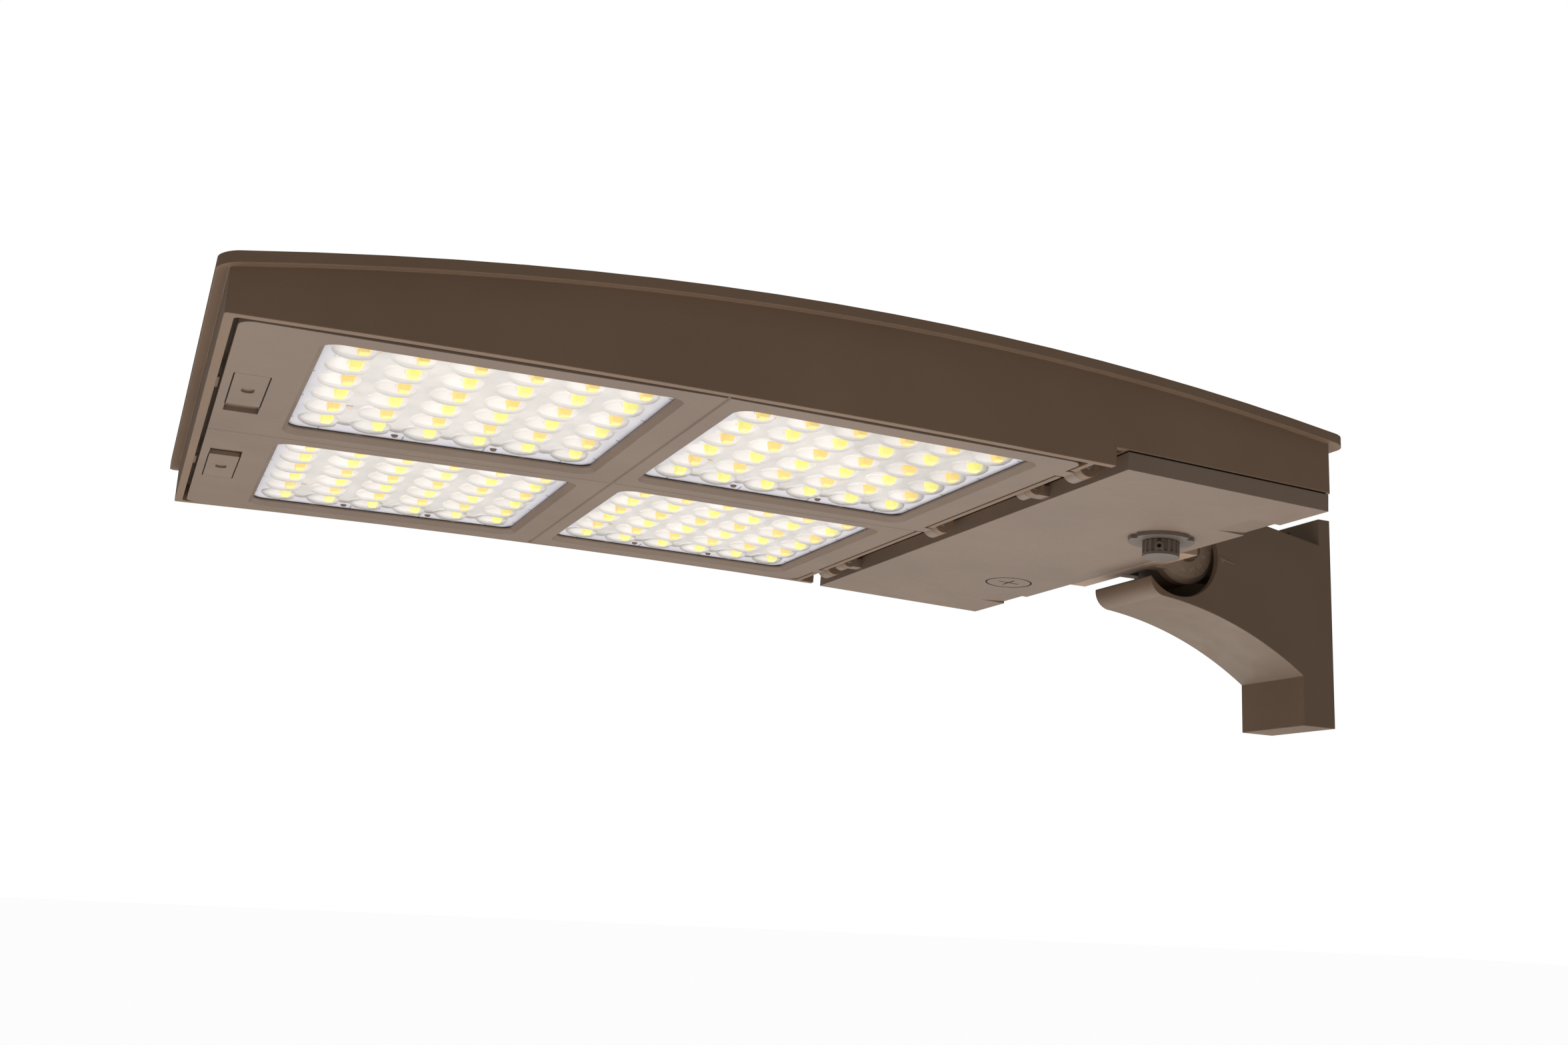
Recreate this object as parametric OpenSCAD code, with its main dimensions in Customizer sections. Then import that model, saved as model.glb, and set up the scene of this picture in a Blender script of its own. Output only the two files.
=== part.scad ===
// Shoebox area light on a cast mounting arm, in millimetres.
// The origin is the middle of the arm's mounting face. +Y runs into the pole, the nose points to -Y, +Z is up.
// The light tilts on the arm, an optic door and a driver door swing down, two latches slide and a cap twists.

/* [Arm] */
// Distance from the mounting face to the tilt axis
hub_reach = 89.8; // [86:0.2:110]
// Height of the tilt axis over the middle of the mounting face
hub_z = 32.1; // [30:0.1:36]
// Width of the arm over its cheeks
arm_w = 52; // [50:1:64]
// Thickness of each cheek
cheek_t = 4; // [3:0.1:4.4]
// Thickness of the curved web under the arm
web_t = 3; // [2.5:0.1:4]
// Height of the back plate
plate_h = 116.8; // [114:0.2:150]
// Thickness of the back plate
plate_t = 7.6; // [6:0.1:10]
// Spacing of the two bolts that hold the arm
bolt_spacing = 101.6; // [92:0.1:103]
// Diameter of the two mounting holes
bolt_hole_d = 9; // [7:0.1:11]
// Diameter of the wire hole in the back plate
wire_hole_d = 24; // [16:0.5:30]
// Distance from the tilt axis to the tip of the arm's rounded nose
arm_nose_reach = 30.4; // [28:0.1:30.8]
// Depth of the nose's tip below the tilt axis
arm_nose_drop = 20.3; // [19:0.1:22]
// Radius of the rounded nose
arm_nose_r = 9.5; // [7:0.1:11]
// Radius of the arm's curved underside
web_arc_r = 200; // [180:1:260]
// Height of the tab below the curved underside
tab_h = 17.4; // [14:0.1:22]
// Radius of the round opening at the front of each cheek
cheek_open_r = 24.3; // [23.8:0.1:25]
// Height of the cheeks' top edge over the tilt axis, at the back plate
cheek_back_h = 11.3; // [9:0.1:13]
// Height of the cheeks' top corner over the tilt axis
cheek_top_h = 22.4; // [20:0.1:24]

/* [Knuckle] */
// Radius of the round hub discs
hub_r = 18.6; // [17:0.1:19.2]
// Radius of a disc's flat face inside its bevel
hub_face_r = 15.7; // [14:0.1:16.4]
// Thickness of each hub disc
hub_disc_t = 7.6; // [6:0.1:8]
// Width of the arm's lug between the discs
lug_w = 17.4; // [15:0.1:18]
// Distance from the tilt axis to the rear wall of the housing
knuckle_reach = 28.2; // [28:0.1:32]
// Width of the knuckle's base plate
base_w = 104; // [96:1:140]
// Thickness of the knuckle's base plate
base_t = 8; // [6:0.1:8.4]
// Height of the base plate's top over the tilt axis
base_top_h = 13.9; // [12:0.1:14.4]
// Depth of the base plate's foot below the tilt axis
base_foot_drop = 12.1; // [11:0.1:12.4]
// Diameter of the tilt bolt
tilt_bolt_d = 8; // [7:0.1:9]

/* [Housing] */
// Width of the housing over its side walls
body_w = 322; // [320:1:420]
// Thickness of the side, nose and rear walls
wall_t = 3.6; // [3:0.1:4.2]
// Overhang of the drip lip past the side walls
lip_side = 3.3; // [2:0.1:5]
// Overhang of the drip lip past the nose
lip_nose = 4.4; // [2:0.1:6]
// Overhang of the drip lip past the rear wall
lip_rear = 7.3; // [5:0.1:7.5]
// Thickness of the drip lip
lip_t = 4.4; // [3:0.1:5]
// Plan radius of the lip's corners at the nose
lip_corner_r = 7; // [5:0.5:12]
// Plan radius of the walls' corners at the nose
body_corner_r = 1.4; // [1:0.1:3]
// Plan radius of the lip's corners at the rear
lip_rear_r = 7; // [5:0.5:12]
// Radius of the arched top, seen from the side
arch_r = 1482; // [1400:2:1600]
// Height of the arched top over the tilt axis, at its crown
crown_h = 39.2; // [39:0.1:46]
// Place of the crown, as a share of the lip's length from its rear edge
crown_share = 0.438; // [0.4:0.002:0.48]
// Rise of the lower rim between its two ends
rim_rise = 2.2; // [1.4:0.1:3]
// Thickness of the skin over the driver compartment
skin_t = 3; // [2.4:0.1:4]
// Thickness of the heat sink floor over the boards
sink_t = 4.4; // [4:0.1:6]
// Thickness of a heat sink fin
fin_t = 2.2; // [1.8:0.1:3]
// Spacing of the heat sink fins
fin_pitch = 17.4; // [14:0.1:22]
// Drop of the fins below the arched top
fin_drop = 1.6; // [1:0.1:4]

/* [Optic door] */
// Gap between the optic door and each side wall
door_side_gap = 1.4; // [1:0.1:2.4]
// Thickness of the optic door
door_t = 3.3; // [3:0.1:3.6]
// Depth of the door's underside below the tilt axis, at its bend
door_drop = 5.95; // [5:0.05:7]
// Slope of each half of the optic door, in degrees
door_fall = 0.62; // [0.3:0.02:0.8]
// Length of each window
win_len = 141.1; // [136:0.1:150]
// Width of the door's margin at each side
margin_side = 10.3; // [10:0.1:13]
// Corner radius of each window
win_r = 8; // [6:0.1:10]
// Width of the bevel round each window
win_bevel = 2.3; // [1.5:0.1:2.6]
// Half width of the bar between the near and far windows
bar_half = 8.7; // [8.4:0.1:9]
// Width of the cross bar before the bend
bar_front = 13; // [12:0.1:16]
// Width of the cross bar behind the bend
bar_rear = 8.1; // [7.8:0.1:11]
// Width of the door's margin at the nose
margin_front = 29.4; // [29:0.1:34]
// Width of the door's margin at the hinges
margin_rear = 14.2; // [14:0.1:17]
// Plan radius of the door's corners
door_corner_r = 6; // [4:0.1:9]
// Width of the two shallow seams across the door
seam_w = 1.2; // [0.8:0.1:1.8]
// Width of the slot between the door and the nose
nose_slot = 1.9; // [1.6:0.1:2.4]

/* [Hinges] */
// Depth of the hinge axis below the tilt axis
axis_drop = 4.6; // [4.4:0.05:4.8]
// Distance from the hinge axis to the optic door's rear edge
axis_to_optic = 8.9; // [8.8:0.1:9.4]
// Distance from the hinge axis to the driver door's front edge
axis_to_tray = 10.2; // [10:0.1:11]
// Outer radius of the optic door's hinge barrels
barrel_r = 5.5; // [5.2:0.05:5.6]
// Outer radius of the driver door's hinge barrels
small_barrel_r = 4.3; // [4:0.05:4.35]
// Diameter of the hinge pins
pin_d = 4; // [3.6:0.1:4.4]
// Width of each of the optic door's hinge tabs
tab_w = 8; // [7:0.1:9]
// Distance between the outer hinge tabs' spacing and the door's side
tab_inset = 24.4; // [22:0.1:28]
// Place of the middle hinge tab along the axis
tab_mid_x = 5.4; // [4:0.1:7]
// Width of each of the driver door's hinge arms
arm_tab_w = 7; // [6:0.1:8]
// Distance from the driver door's near hinge arm to the near side
arm_near_inset = 66.7; // [64:0.1:71]
// Distance from the driver door's far hinge arm to the far side
arm_far_inset = 54.9; // [53:0.1:61]
// Width of each hinge lug on the housing
lug_t = 5; // [4:0.1:6]

/* [Driver door] */
// Length of the driver door
tray_len = 108.3; // [106:0.1:124]
// Depth of the driver door's front edge below the tilt axis
tray_drop = 8.6; // [8.4:0.1:8.8]
// Slope of the driver door, in degrees
tray_fall = 1.9; // [1.7:0.05:2]
// Height of the driver door's side walls
tray_h = 8; // [7.6:0.1:8.4]
// Thickness of the driver door's plate
tray_t = 2.6; // [2.2:0.1:3]
// Thickness of the driver door's side walls
tray_wall = 3; // [2.6:0.1:3.4]
// Gap between the driver door's walls and the housing
tray_gap = 0.9; // [0.8:0.05:1.1]
// Gap between the driver door and the housing's rear face
tray_rear_gap = 2; // [1.9:0.1:2.4]
// Width of each finger grip
grip_w = 26.4; // [22:0.1:30]
// Length of each finger grip
grip_len = 16.5; // [14:0.1:20]
// Depth of each finger grip at the door's rear edge
grip_depth = 1.4; // [1:0.1:1.6]
// Distance from the near finger grip to the near side
grip_near_inset = 46.1; // [43:0.1:51]
// Distance from the far finger grip to the far side
grip_far_inset = 48.6; // [45:0.1:53]
// Radius of the round knock-out mark
knock_r = 13.3; // [11:0.1:14]
// Distance from the knock-out mark to the far side
knock_side = 89; // [85:0.5:95]
// Distance from the knock-out mark to the door's rear edge
knock_inset = 28.8; // [27:0.1:32]

/* [Sensor] */
// Distance from the sensor to the near side
sensor_side = 90.1; // [87:0.1:95]
// Distance from the sensor to the door's rear edge
sensor_inset = 26.3; // [25:0.1:28]
// Radius of the receptacle's round flange
flange_r = 16.1; // [15:0.1:17]
// Thickness of the receptacle's flange
flange_t = 2; // [1.6:0.1:2.4]
// Radius of the receptacle's barrel in the door
socket_r = 11; // [10.4:0.1:12]
// Radius of the fluted cap
cap_r = 9.1; // [8.4:0.1:9.6]
// Height of the fluted cap below the flange
cap_h = 7.6; // [6.5:0.1:9]
// Number of flutes round the cap
flutes = 18; // [12:1:24]

/* [Latches] */
// Length of each latch pocket
pocket_len = 57; // [55:0.1:59]
// Width of each latch pocket
pocket_w = 14; // [13:0.1:14.4]
// Distance from the door's middle to each latch pocket
pocket_x = 34; // [32:0.1:38]
// Distance from the door's nose edge to the middle of each latch
latch_inset = 10.7; // [10.4:0.1:11.2]
// Thickness of each latch plate
latch_t = 2.2; // [1.9:0.05:2.3]
// Travel of each latch
latch_travel = 8; // [6:0.1:9]

/* [Boards and lenses] */
// LED rows and columns on each board
led_count = 6; // [4:1:7]
// Distance from a window's side to the middle of the outer LED row
led_edge_x = 17; // [15:0.1:20]
// Distance from a window's end to the middle of the outer LED column
led_edge_y = 14.8; // [14:0.1:20]
// Width of an LED
led_w = 3.8; // [3:0.1:4.4]
// Height of an LED
led_h = 0.8; // [0.6:0.05:1]
// Thickness of a board
board_t = 1.6; // [1.4:0.1:2]
// Thickness of a lens plate
lens_t = 2; // [1.8:0.1:2.3]
// Height of the air space between lens plate and board
lens_gap = 2.4; // [2:0.1:3]
// Plan radius of a lens dome, as a share of the LEDs' spacing
dome_share = 0.446; // [0.38:0.002:0.456]
// Height of a lens dome below its plate
dome_h = 3; // [2.4:0.1:3.1]

/* [Driver compartment] */
// Room beside each LED driver's feet
driver_end_room = 10.7; // [8:0.1:16]
// Width of each LED driver, as a share of the compartment's length
driver_share = 0.524; // [0.43:0.002:0.54]
// Height of each LED driver
driver_h = 22; // [16:0.5:23]
// Height of the drivers' tops over the tilt axis
gear_top_h = 23; // [22:0.1:24]
// Radius of the supply wire's grommet
grommet_r = 6; // [5:0.1:6.4]

/* [Hidden] */

// Running clearance of a pin in its bore, on the radius
run_fit = 0.06;
// Gap between flat faces that slide or turn on each other
face_gap = 0.25;
// Overrun of every cut past the face that it opens
over = 1;
// Segments of a big arc, of a round part, of a small round part and of a flute
big_fn = 720;
round_fn = 96;
small_fn = 48;
fine_fn = 24;

// Radius of an arc from its chord and its rise
function arc_radius(chord, rise) = (chord * chord / 4 + rise * rise) / (2 * rise);
// Height of a circle's upper half at a place y
function arc_z(y, cy, cz, r) = cz + sqrt(r * r - (y - cy) * (y - cy));

// Widths that follow the housing's
body_half = body_w / 2;
inner_half = body_half - wall_t;
door_half = inner_half - door_side_gap;
door_w = 2 * door_half;
win_w = door_half - bar_half - margin_side;

// Places along Y, from the tilt axis to the nose
hub_y = -hub_reach;
rear_y = hub_y - knuckle_reach;
tray_rear_y = rear_y - tray_rear_gap;
tray_front_y = tray_rear_y - tray_len;
axis_y = tray_front_y - axis_to_tray;
optic_rear_y = axis_y - axis_to_optic;
mid_y = optic_rear_y - margin_rear - win_len - bar_rear;
optic_front_y = mid_y - bar_front - win_len - margin_front;
nose_in_y = optic_front_y - nose_slot;
nose_y = nose_in_y - wall_t;
lip_front_y = nose_y - lip_nose;
lip_back_y = rear_y + lip_rear;

// Heights that the doors hang from
mid_z = hub_z - door_drop;
axis_z = hub_z - axis_drop;
tray_z = hub_z - tray_drop;

// The arched top: a circle seen from the side
lip_len = lip_back_y - lip_front_y;
crown_y = lip_back_y - crown_share * lip_len;
arch_cz = hub_z + crown_h - arch_r;

// Cross wall between the optic and driver compartments, and the channel of the hinges behind it
cross_gap = 1.6;
cross_t = 2.6;
cross_front_y = optic_rear_y + cross_gap;
cross_rear_y = cross_front_y + cross_t;
channel_h = 8;
channel_top_z = axis_z + channel_h;
channel_skin = 3;

// The lower rim: an arc from the nose to the end of the side wall
side_end_gap = 4;
side_end_y = axis_y + side_end_gap;
rim_lift = 0.3;
rim_chord = side_end_y - nose_y;
rim_arc_r = arc_radius(rim_chord, rim_rise);
rim_cy = (side_end_y + nose_y) / 2;
rim_cz = mid_z + rim_lift - rim_arc_r;

// Plan radii of the housing's inner corners at the nose, and of all its walls' corners at the rear
inner_corner_r = 2;
body_rear_r = lip_rear_r / 4;

// Layer of thermal paste between a board and the heat sink
paste_t = 0.05;
// Layers over the optic door's underside, at right angles to it
lens_z = door_t + face_gap;
rim_z = lens_z + lens_t;
board_z = rim_z + lens_gap;
sink_z = board_z + board_t + paste_t;
led_z = board_z - led_h;

// The ledge that the optic gasket meets, and the gasket
ledge_w = 5;
gasket_w = 3.4;
gasket_t = 1.6;
ledge_z = door_t + gasket_t + face_gap;
ledge_front_y = optic_front_y + latch_inset + pocket_w / 2;
ledge_half = inner_half - ledge_w;

// Windows, boards and lens plates
win_mid_x = bar_half + win_w / 2;
win_mid_ys = [-bar_front - win_len / 2, bar_rear + win_len / 2];
lens_lap_x = 4.6;
lens_lap_y = 4.4;
lens_w = win_w + 2 * lens_lap_x;
lens_len = win_len + 2 * lens_lap_y;
lens_corner_r = 6;
lens_rim_w = 3;
screw_r = 1.4;
screw_head_r = 2.5;
screw_head_t = 1.3;
screw_boss_r = 3.6;
screw_bite = 3;
// A lens screw stands this far inside the lens plate's edge
screw_inset = 3.7;
screw_x = lens_w / 2 - screw_inset;
screw_y_share = 0.25;
screw_y = lens_len * screw_y_share;
led_pitch_x = (win_w - 2 * led_edge_x) / (led_count - 1);
led_pitch_y = (win_len - 2 * led_edge_y) / (led_count - 1);
dome_r = dome_share * min(led_pitch_x, led_pitch_y);
dome_sphere_r = (dome_r * dome_r + dome_h * dome_h) / (2 * dome_h);
pocket_share = 0.6;

// Panels: side across the door (1 near, -1 far), half along it (0 front, 1 rear)
PANELS = [[1, 0], [1, 1], [-1, 0], [-1, 1]];

function roof_z(y) = mid_z - tan(door_fall) * abs(y - mid_y);
function led_offset(i, pitch) = (i - (led_count - 1) / 2) * pitch;

// A plate with round plan corners, from slabs and four discs: radius r at the y0 end and rb at the y1 end
module round_plate(x0, x1, y0, y1, r, t, fn = round_fn, rb = undef) {
  r1 = is_undef(rb) ? r : rb;
  ends = [[y0 + r, r], [y1 - r1, r1]];
  translate([x0 + r, y0, 0]) cube([x1 - x0 - 2 * r, y1 - y0 - r1, t]);
  translate([x0 + r1, y0 + r, 0]) cube([x1 - x0 - 2 * r1, y1 - y0 - r, t]);
  translate([x0, y0 + r, 0]) cube([x1 - x0, y1 - y0 - r - r1, t]);
  for (x = [0, 1], e = ends) translate([x == 0 ? x0 + e[1] : x1 - e[1], e[0], 0])
    cylinder(r = e[1], h = t, $fn = fn);
}

// A slab that follows the optic door's bend, between heights h0 and h1 over its underside
module bend_slab(half, y0, y1, h0, h1) {
  ys = [y0, min(max(mid_y, y0), y1), y1];
  upright = 1 / cos(door_fall);
  low = [for (y = ys) [y, roof_z(y) + h0 * upright]];
  high = [for (i = [2:-1:0]) [ys[i], roof_z(ys[i]) + h1 * upright]];
  rotate([90, 0, 90]) translate([0, 0, -half]) linear_extrude(2 * half) polygon(concat(low, high));
}

// Places its children on one half of the optic door, with z = 0 on the door's underside
module on_half(half) {
  translate([0, mid_y, mid_z]) rotate([half == 0 ? door_fall : -door_fall, 0, 0]) children();
}

// Places its children at the middle of one window
module on_panel(p) {
  on_half(p[1]) translate([p[0] * win_mid_x, win_mid_ys[p[1]], 0]) children();
}

// Places its children on the driver door, with y = 0 at its front edge and z = 0 on its underside
module on_tray() {
  translate([0, tray_front_y, tray_z]) rotate([-tray_fall, 0, 0]) children();
}

// A cylinder along X from x0 to x1
module x_rod(x0, x1, y, z, r, fn = round_fn) {
  translate([x0, y, z]) rotate([0, 90, 0]) cylinder(r = r, h = x1 - x0, $fn = fn);
}

// The space under the arched top, lowered by drop
module under_arch(drop) {
  x_rod(-body_w, body_w, crown_y, arch_cz, arch_r - drop, big_fn);
}

// Mounting arm

nose_y_arm = hub_y - arm_nose_reach;
nose_z_arm = hub_z - arm_nose_drop;
web_start = [nose_y_arm + arm_nose_r, nose_z_arm - arm_nose_r];
web_end = [-plate_t, -plate_h / 2 + tab_h];
web_chord = norm(web_end - web_start);
web_sink = sqrt(web_arc_r * web_arc_r - web_chord * web_chord / 4);
web_dir = (web_end - web_start) / web_chord;
web_c = (web_start + web_end) / 2 + web_sink * [web_dir[1], -web_dir[0]];
// Centre of the cheeks' round opening, before and below the tilt axis
open_fwd_share = 0.46;
open_drop_share = 0.18;
open_y = hub_y - open_fwd_share * cheek_open_r;
open_z = hub_z - open_drop_share * cheek_open_r;
// The cheek's top corner and front corner stand behind the tilt axis
corner_back_share = 0.95;
corner_front_share = 0.31;
corner_low_share = 0.8;

module arm_side() {
  plate_top = plate_h / 2;
  translate([-plate_t, -plate_top]) square([plate_t, plate_h]);
  difference() {
    union() {
      polygon([[0, -plate_top], [0, hub_z + cheek_back_h], [-plate_t, hub_z + cheek_back_h],
        [hub_y + corner_back_share * hub_r, hub_z + cheek_top_h],
        [hub_y + corner_front_share * hub_r, hub_z + corner_low_share * cheek_top_h],
        [nose_y_arm, nose_z_arm], [web_start[0], nose_z_arm], [web_start[0], -plate_top]]);
      translate([nose_y_arm + arm_nose_r, nose_z_arm]) circle(r = arm_nose_r, $fn = round_fn);
    }
    intersection() {
      translate(web_c) circle(r = web_arc_r, $fn = big_fn);
      translate([web_start[0], -plate_h]) square([hub_reach, 2 * plate_h]);
    }
    translate([open_y, open_z]) circle(r = cheek_open_r, $fn = round_fn);
  }
}

module arm_bracket() {
  color([0.33, 0.28, 0.24]) {
    difference() {
      rotate([90, 0, 90]) translate([0, 0, -arm_w / 2]) linear_extrude(arm_w) arm_side();
      difference() {
        arm_hollow();
        arm_lug();
      }
      x_rod(-lug_w, lug_w, hub_y, hub_z, tilt_bolt_d / 2 + run_fit, small_fn);
      for (s = [-1, 1]) translate([0, over, s * bolt_spacing / 2]) rotate([90, 0, 0])
        cylinder(d = bolt_hole_d, h = plate_t + 2 * over, $fn = small_fn);
      translate([0, over, 0]) rotate([90, 0, 0])
        cylinder(d = wire_hole_d, h = plate_t + 2 * over, $fn = round_fn);
    }
    difference() {
      arm_lug();
      x_rod(-lug_w, lug_w, hub_y, hub_z, tilt_bolt_d / 2 + run_fit, small_fn);
    }
  }
}

// The room between the cheeks: over the curved web, over the nose and inside the nose's round
module arm_hollow() {
  half = arm_w / 2 - cheek_t;
  difference() {
    translate([-half, web_start[0], -plate_h]) cube([2 * half, -web_start[0] - plate_t, 3 * plate_h]);
    x_rod(-arm_w, arm_w, web_c[0], web_c[1], web_arc_r + web_t, big_fn);
  }
  translate([-half, nose_y_arm + web_t, nose_z_arm]) cube([2 * half, arm_nose_r, plate_h]);
  x_rod(-half, half, web_start[0], nose_z_arm, arm_nose_r - web_t);
}

// The lug between the hub discs: a round head on a rib that runs back to the plate
module arm_lug() {
  rib_h = hub_r - base_top_h / 2;
  x_rod(-lug_w / 2, lug_w / 2, hub_y, hub_z, hub_r);
  translate([-lug_w / 2, hub_y, hub_z - rib_h])
    cube([lug_w, hub_reach - plate_t / 2, rib_h + cheek_back_h / 2]);
}

disc_in_x = lug_w / 2 + face_gap;
disc_out_x = disc_in_x + hub_disc_t;
// Radii of the bolt's head, nut and washers, as shares of its diameter
bolt_head_share = 0.75;
washer_share = 0.85;
bolt_head_t = 2.8;
nut_t = 3.6;
washer_t = 0.6;

module tilt_bolt() {
  head_x = disc_out_x + washer_t;
  color([0.62, 0.62, 0.6]) {
    difference() {
      x_rod(head_x, head_x + bolt_head_t, hub_y, hub_z, tilt_bolt_d * bolt_head_share);
      x_rod(head_x + bolt_head_t / 2, head_x + bolt_head_t + over, hub_y, hub_z, tilt_bolt_d / 3, 6);
    }
    x_rod(disc_out_x, head_x, hub_y, hub_z, tilt_bolt_d * washer_share);
    x_rod(-disc_out_x - washer_t - nut_t, head_x, hub_y, hub_z, tilt_bolt_d / 2);
  }
}

module tilt_nut() {
  nut_x = -disc_out_x - washer_t;
  color([0.62, 0.62, 0.6]) difference() {
    union() {
      x_rod(nut_x - nut_t, nut_x, hub_y, hub_z, tilt_bolt_d * washer_share, 6);
      x_rod(nut_x, nut_x + washer_t, hub_y, hub_z, tilt_bolt_d * washer_share);
    }
    x_rod(nut_x - nut_t - over, nut_x + washer_t + over, hub_y, hub_z, tilt_bolt_d / 2 + run_fit, small_fn);
  }
}

// Knuckle on the housing's rear wall

knuckle_foot_gap = 0.6;
knuckle_foot_t = 2.5;
knuckle_screw_r = 2.5;
knuckle_head_r = 4.4;
knuckle_head_t = 3;
knuckle_screw_z = hub_z + base_top_h / 2 - knuckle_screw_r;
grommet_z = hub_z + base_top_h - grommet_r + run_fit;
// The outer screws stand this far inside the base plate's ends, the inner ones this far from them
knuckle_screw_inset = 8;
knuckle_screw_pitch = 20;
outer_screw_x = base_w / 2 - knuckle_screw_inset;
inner_screw_x = outer_screw_x - knuckle_screw_pitch;
KNUCKLE_SCREW_XS = [-outer_screw_x, -inner_screw_x, inner_screw_x, outer_screw_x];

module hub_disc(x0, face_x) {
  bevel = hub_r - hub_face_r;
  s = face_x > x0 ? 1 : -1;
  translate([x0, hub_y, hub_z]) rotate([0, s * 90, 0]) {
    cylinder(r = hub_r, h = abs(face_x - x0) - bevel, $fn = round_fn);
    translate([0, 0, abs(face_x - x0) - bevel])
      cylinder(r1 = hub_r, r2 = hub_face_r, h = bevel, $fn = round_fn);
  }
}

module knuckle() {
  disc_gap_h = hub_face_r - base_top_h / 4;
  color([0.36, 0.31, 0.27]) difference() {
    union() {
      translate([-base_w / 2, rear_y, hub_z - base_foot_drop])
        cube([base_w, base_t, base_foot_drop + base_top_h]);
      translate([-base_w / 2, tray_rear_y + knuckle_foot_gap, hub_z - base_foot_drop])
        cube([base_w, tray_rear_gap - knuckle_foot_gap + base_t / 2, knuckle_foot_t]);
      for (s = [-1, 1]) {
        hub_disc(s * disc_in_x, s * disc_out_x);
        translate([s > 0 ? disc_in_x : -disc_out_x, rear_y + base_t / 2, hub_z - disc_gap_h])
          cube([hub_disc_t, knuckle_reach - base_t / 2, disc_gap_h + base_top_h - knuckle_foot_t]);
      }
    }
    x_rod(-arm_w, arm_w, hub_y, hub_z, tilt_bolt_d / 2 + run_fit, small_fn);
    for (x = KNUCKLE_SCREW_XS) translate([x, rear_y - over, knuckle_screw_z]) rotate([-90, 0, 0])
      cylinder(r = knuckle_screw_r + run_fit, h = base_t - knuckle_screw_r + over, $fn = small_fn);
    translate([0, rear_y - over, grommet_z]) rotate([-90, 0, 0])
      cylinder(r = grommet_r + run_fit, h = base_t + 2 * over, $fn = small_fn);
  }
}

module knuckle_screws() {
  color([0.62, 0.62, 0.6]) for (x = KNUCKLE_SCREW_XS) translate([x, rear_y - wall_t, knuckle_screw_z]) {
    rotate([-90, 0, 0])
      cylinder(r = knuckle_screw_r, h = wall_t + base_t - 2 * knuckle_screw_r, $fn = small_fn);
    rotate([90, 0, 0]) difference() {
      cylinder(r = knuckle_head_r, h = knuckle_head_t, $fn = small_fn);
      translate([0, 0, knuckle_head_t / 2]) cylinder(r = knuckle_screw_r, h = knuckle_head_t, $fn = 6);
    }
  }
}

module wire_grommet() {
  flange_t_in = grommet_r / 4;
  color([0.12, 0.12, 0.12]) translate([0, rear_y - wall_t, grommet_z]) difference() {
    union() {
      rotate([-90, 0, 0]) cylinder(r = grommet_r, h = wall_t + base_t, $fn = small_fn);
      rotate([90, 0, 0]) cylinder(r = grommet_r + flange_t_in, h = flange_t_in, $fn = small_fn);
    }
    translate([0, -flange_t_in - over, 0]) rotate([-90, 0, 0])
      cylinder(r = grommet_r * pocket_share, h = wall_t + base_t + flange_t_in + 2 * over, $fn = small_fn);
  }
}

// Places of the gear in the driver compartment
gear_z = hub_z + gear_top_h;
foot_len = 10;
foot_t = 2;
gear_side_gap = 2.5;
driver_cx = inner_half / 2;
bay_len = rear_y - tray_front_y - 2 * wall_t;
driver_len = inner_half - 2 * foot_len - 2 * driver_end_room;
driver_w = driver_share * bay_len;
driver_cy = tray_front_y + wall_t + gear_side_gap + driver_w / 2;
// Widths of the surge protector and of the terminal block, and their distances from the rear wall
surge_share = 0.233;
surge_back_share = 0.233;
block_share = 0.146;
block_back_share = 0.175;
// The surge protector stands this share of the half width from the middle, the terminal block this one
surge_place_share = 0.52;
block_place_share = 0.087;
surge_size = [42, surge_share * bay_len, 18];
surge_c = [-surge_place_share * body_half, rear_y - wall_t - surge_back_share * bay_len];
block_size = [40, block_share * bay_len, 12];
block_c = [-block_place_share * body_half, rear_y - wall_t - block_back_share * bay_len];
post_r = 4;
gear_screw_r = 1.6;
gear_head_r = 3.4;
gear_head_t = 2;
// Every foot's screw: the ends of the drivers, of the surge protector and of the terminal block
GEAR_POSTS = [
  for (s = [-1, 1], e = [-1, 1]) [s * driver_cx + e * (driver_len + foot_len) / 2, driver_cy],
  for (e = [-1, 1]) [surge_c[0] + e * (surge_size[0] + foot_len) / 2, surge_c[1]],
  for (e = [-1, 1]) [block_c[0] + e * (block_size[0] + foot_len) / 2, block_c[1]]
];

// Places of the hinge tabs and of the lugs beside them
tab_pitch = door_half - tab_inset;
OPTIC_TAB_XS = [for (i = [-1:1]) tab_mid_x + i * tab_pitch];
TRAY_TAB_XS = [body_half - arm_near_inset, arm_far_inset - body_half];

module hinge_lug(x, half, r) {
  x0 = x + half + face_gap;
  x_rod(x0, x0 + lug_t, axis_y, axis_z, r, small_fn);
  translate([x0, axis_y - r * pocket_share, axis_z])
    cube([lug_t, 2 * r * pocket_share, channel_h + channel_skin / 2]);
}

// Latch keepers on the inside of the nose
keeper_len = 14;
keeper_t = 1.4;
keeper_reach = 1.2;
hook_len = 18;
hook_w = 11;
hook_t = 1.2;
latch_stop = 3.5;
stem_len = 8;
stem_w = 5;
latch_x0 = pocket_x + latch_travel + latch_stop;
latch_x1 = pocket_x + pocket_len - face_gap;
stem_x = (latch_x0 + latch_x1) / 2;
peg_r = 1.5;
latch_y = optic_front_y + latch_inset - mid_y;

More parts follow.
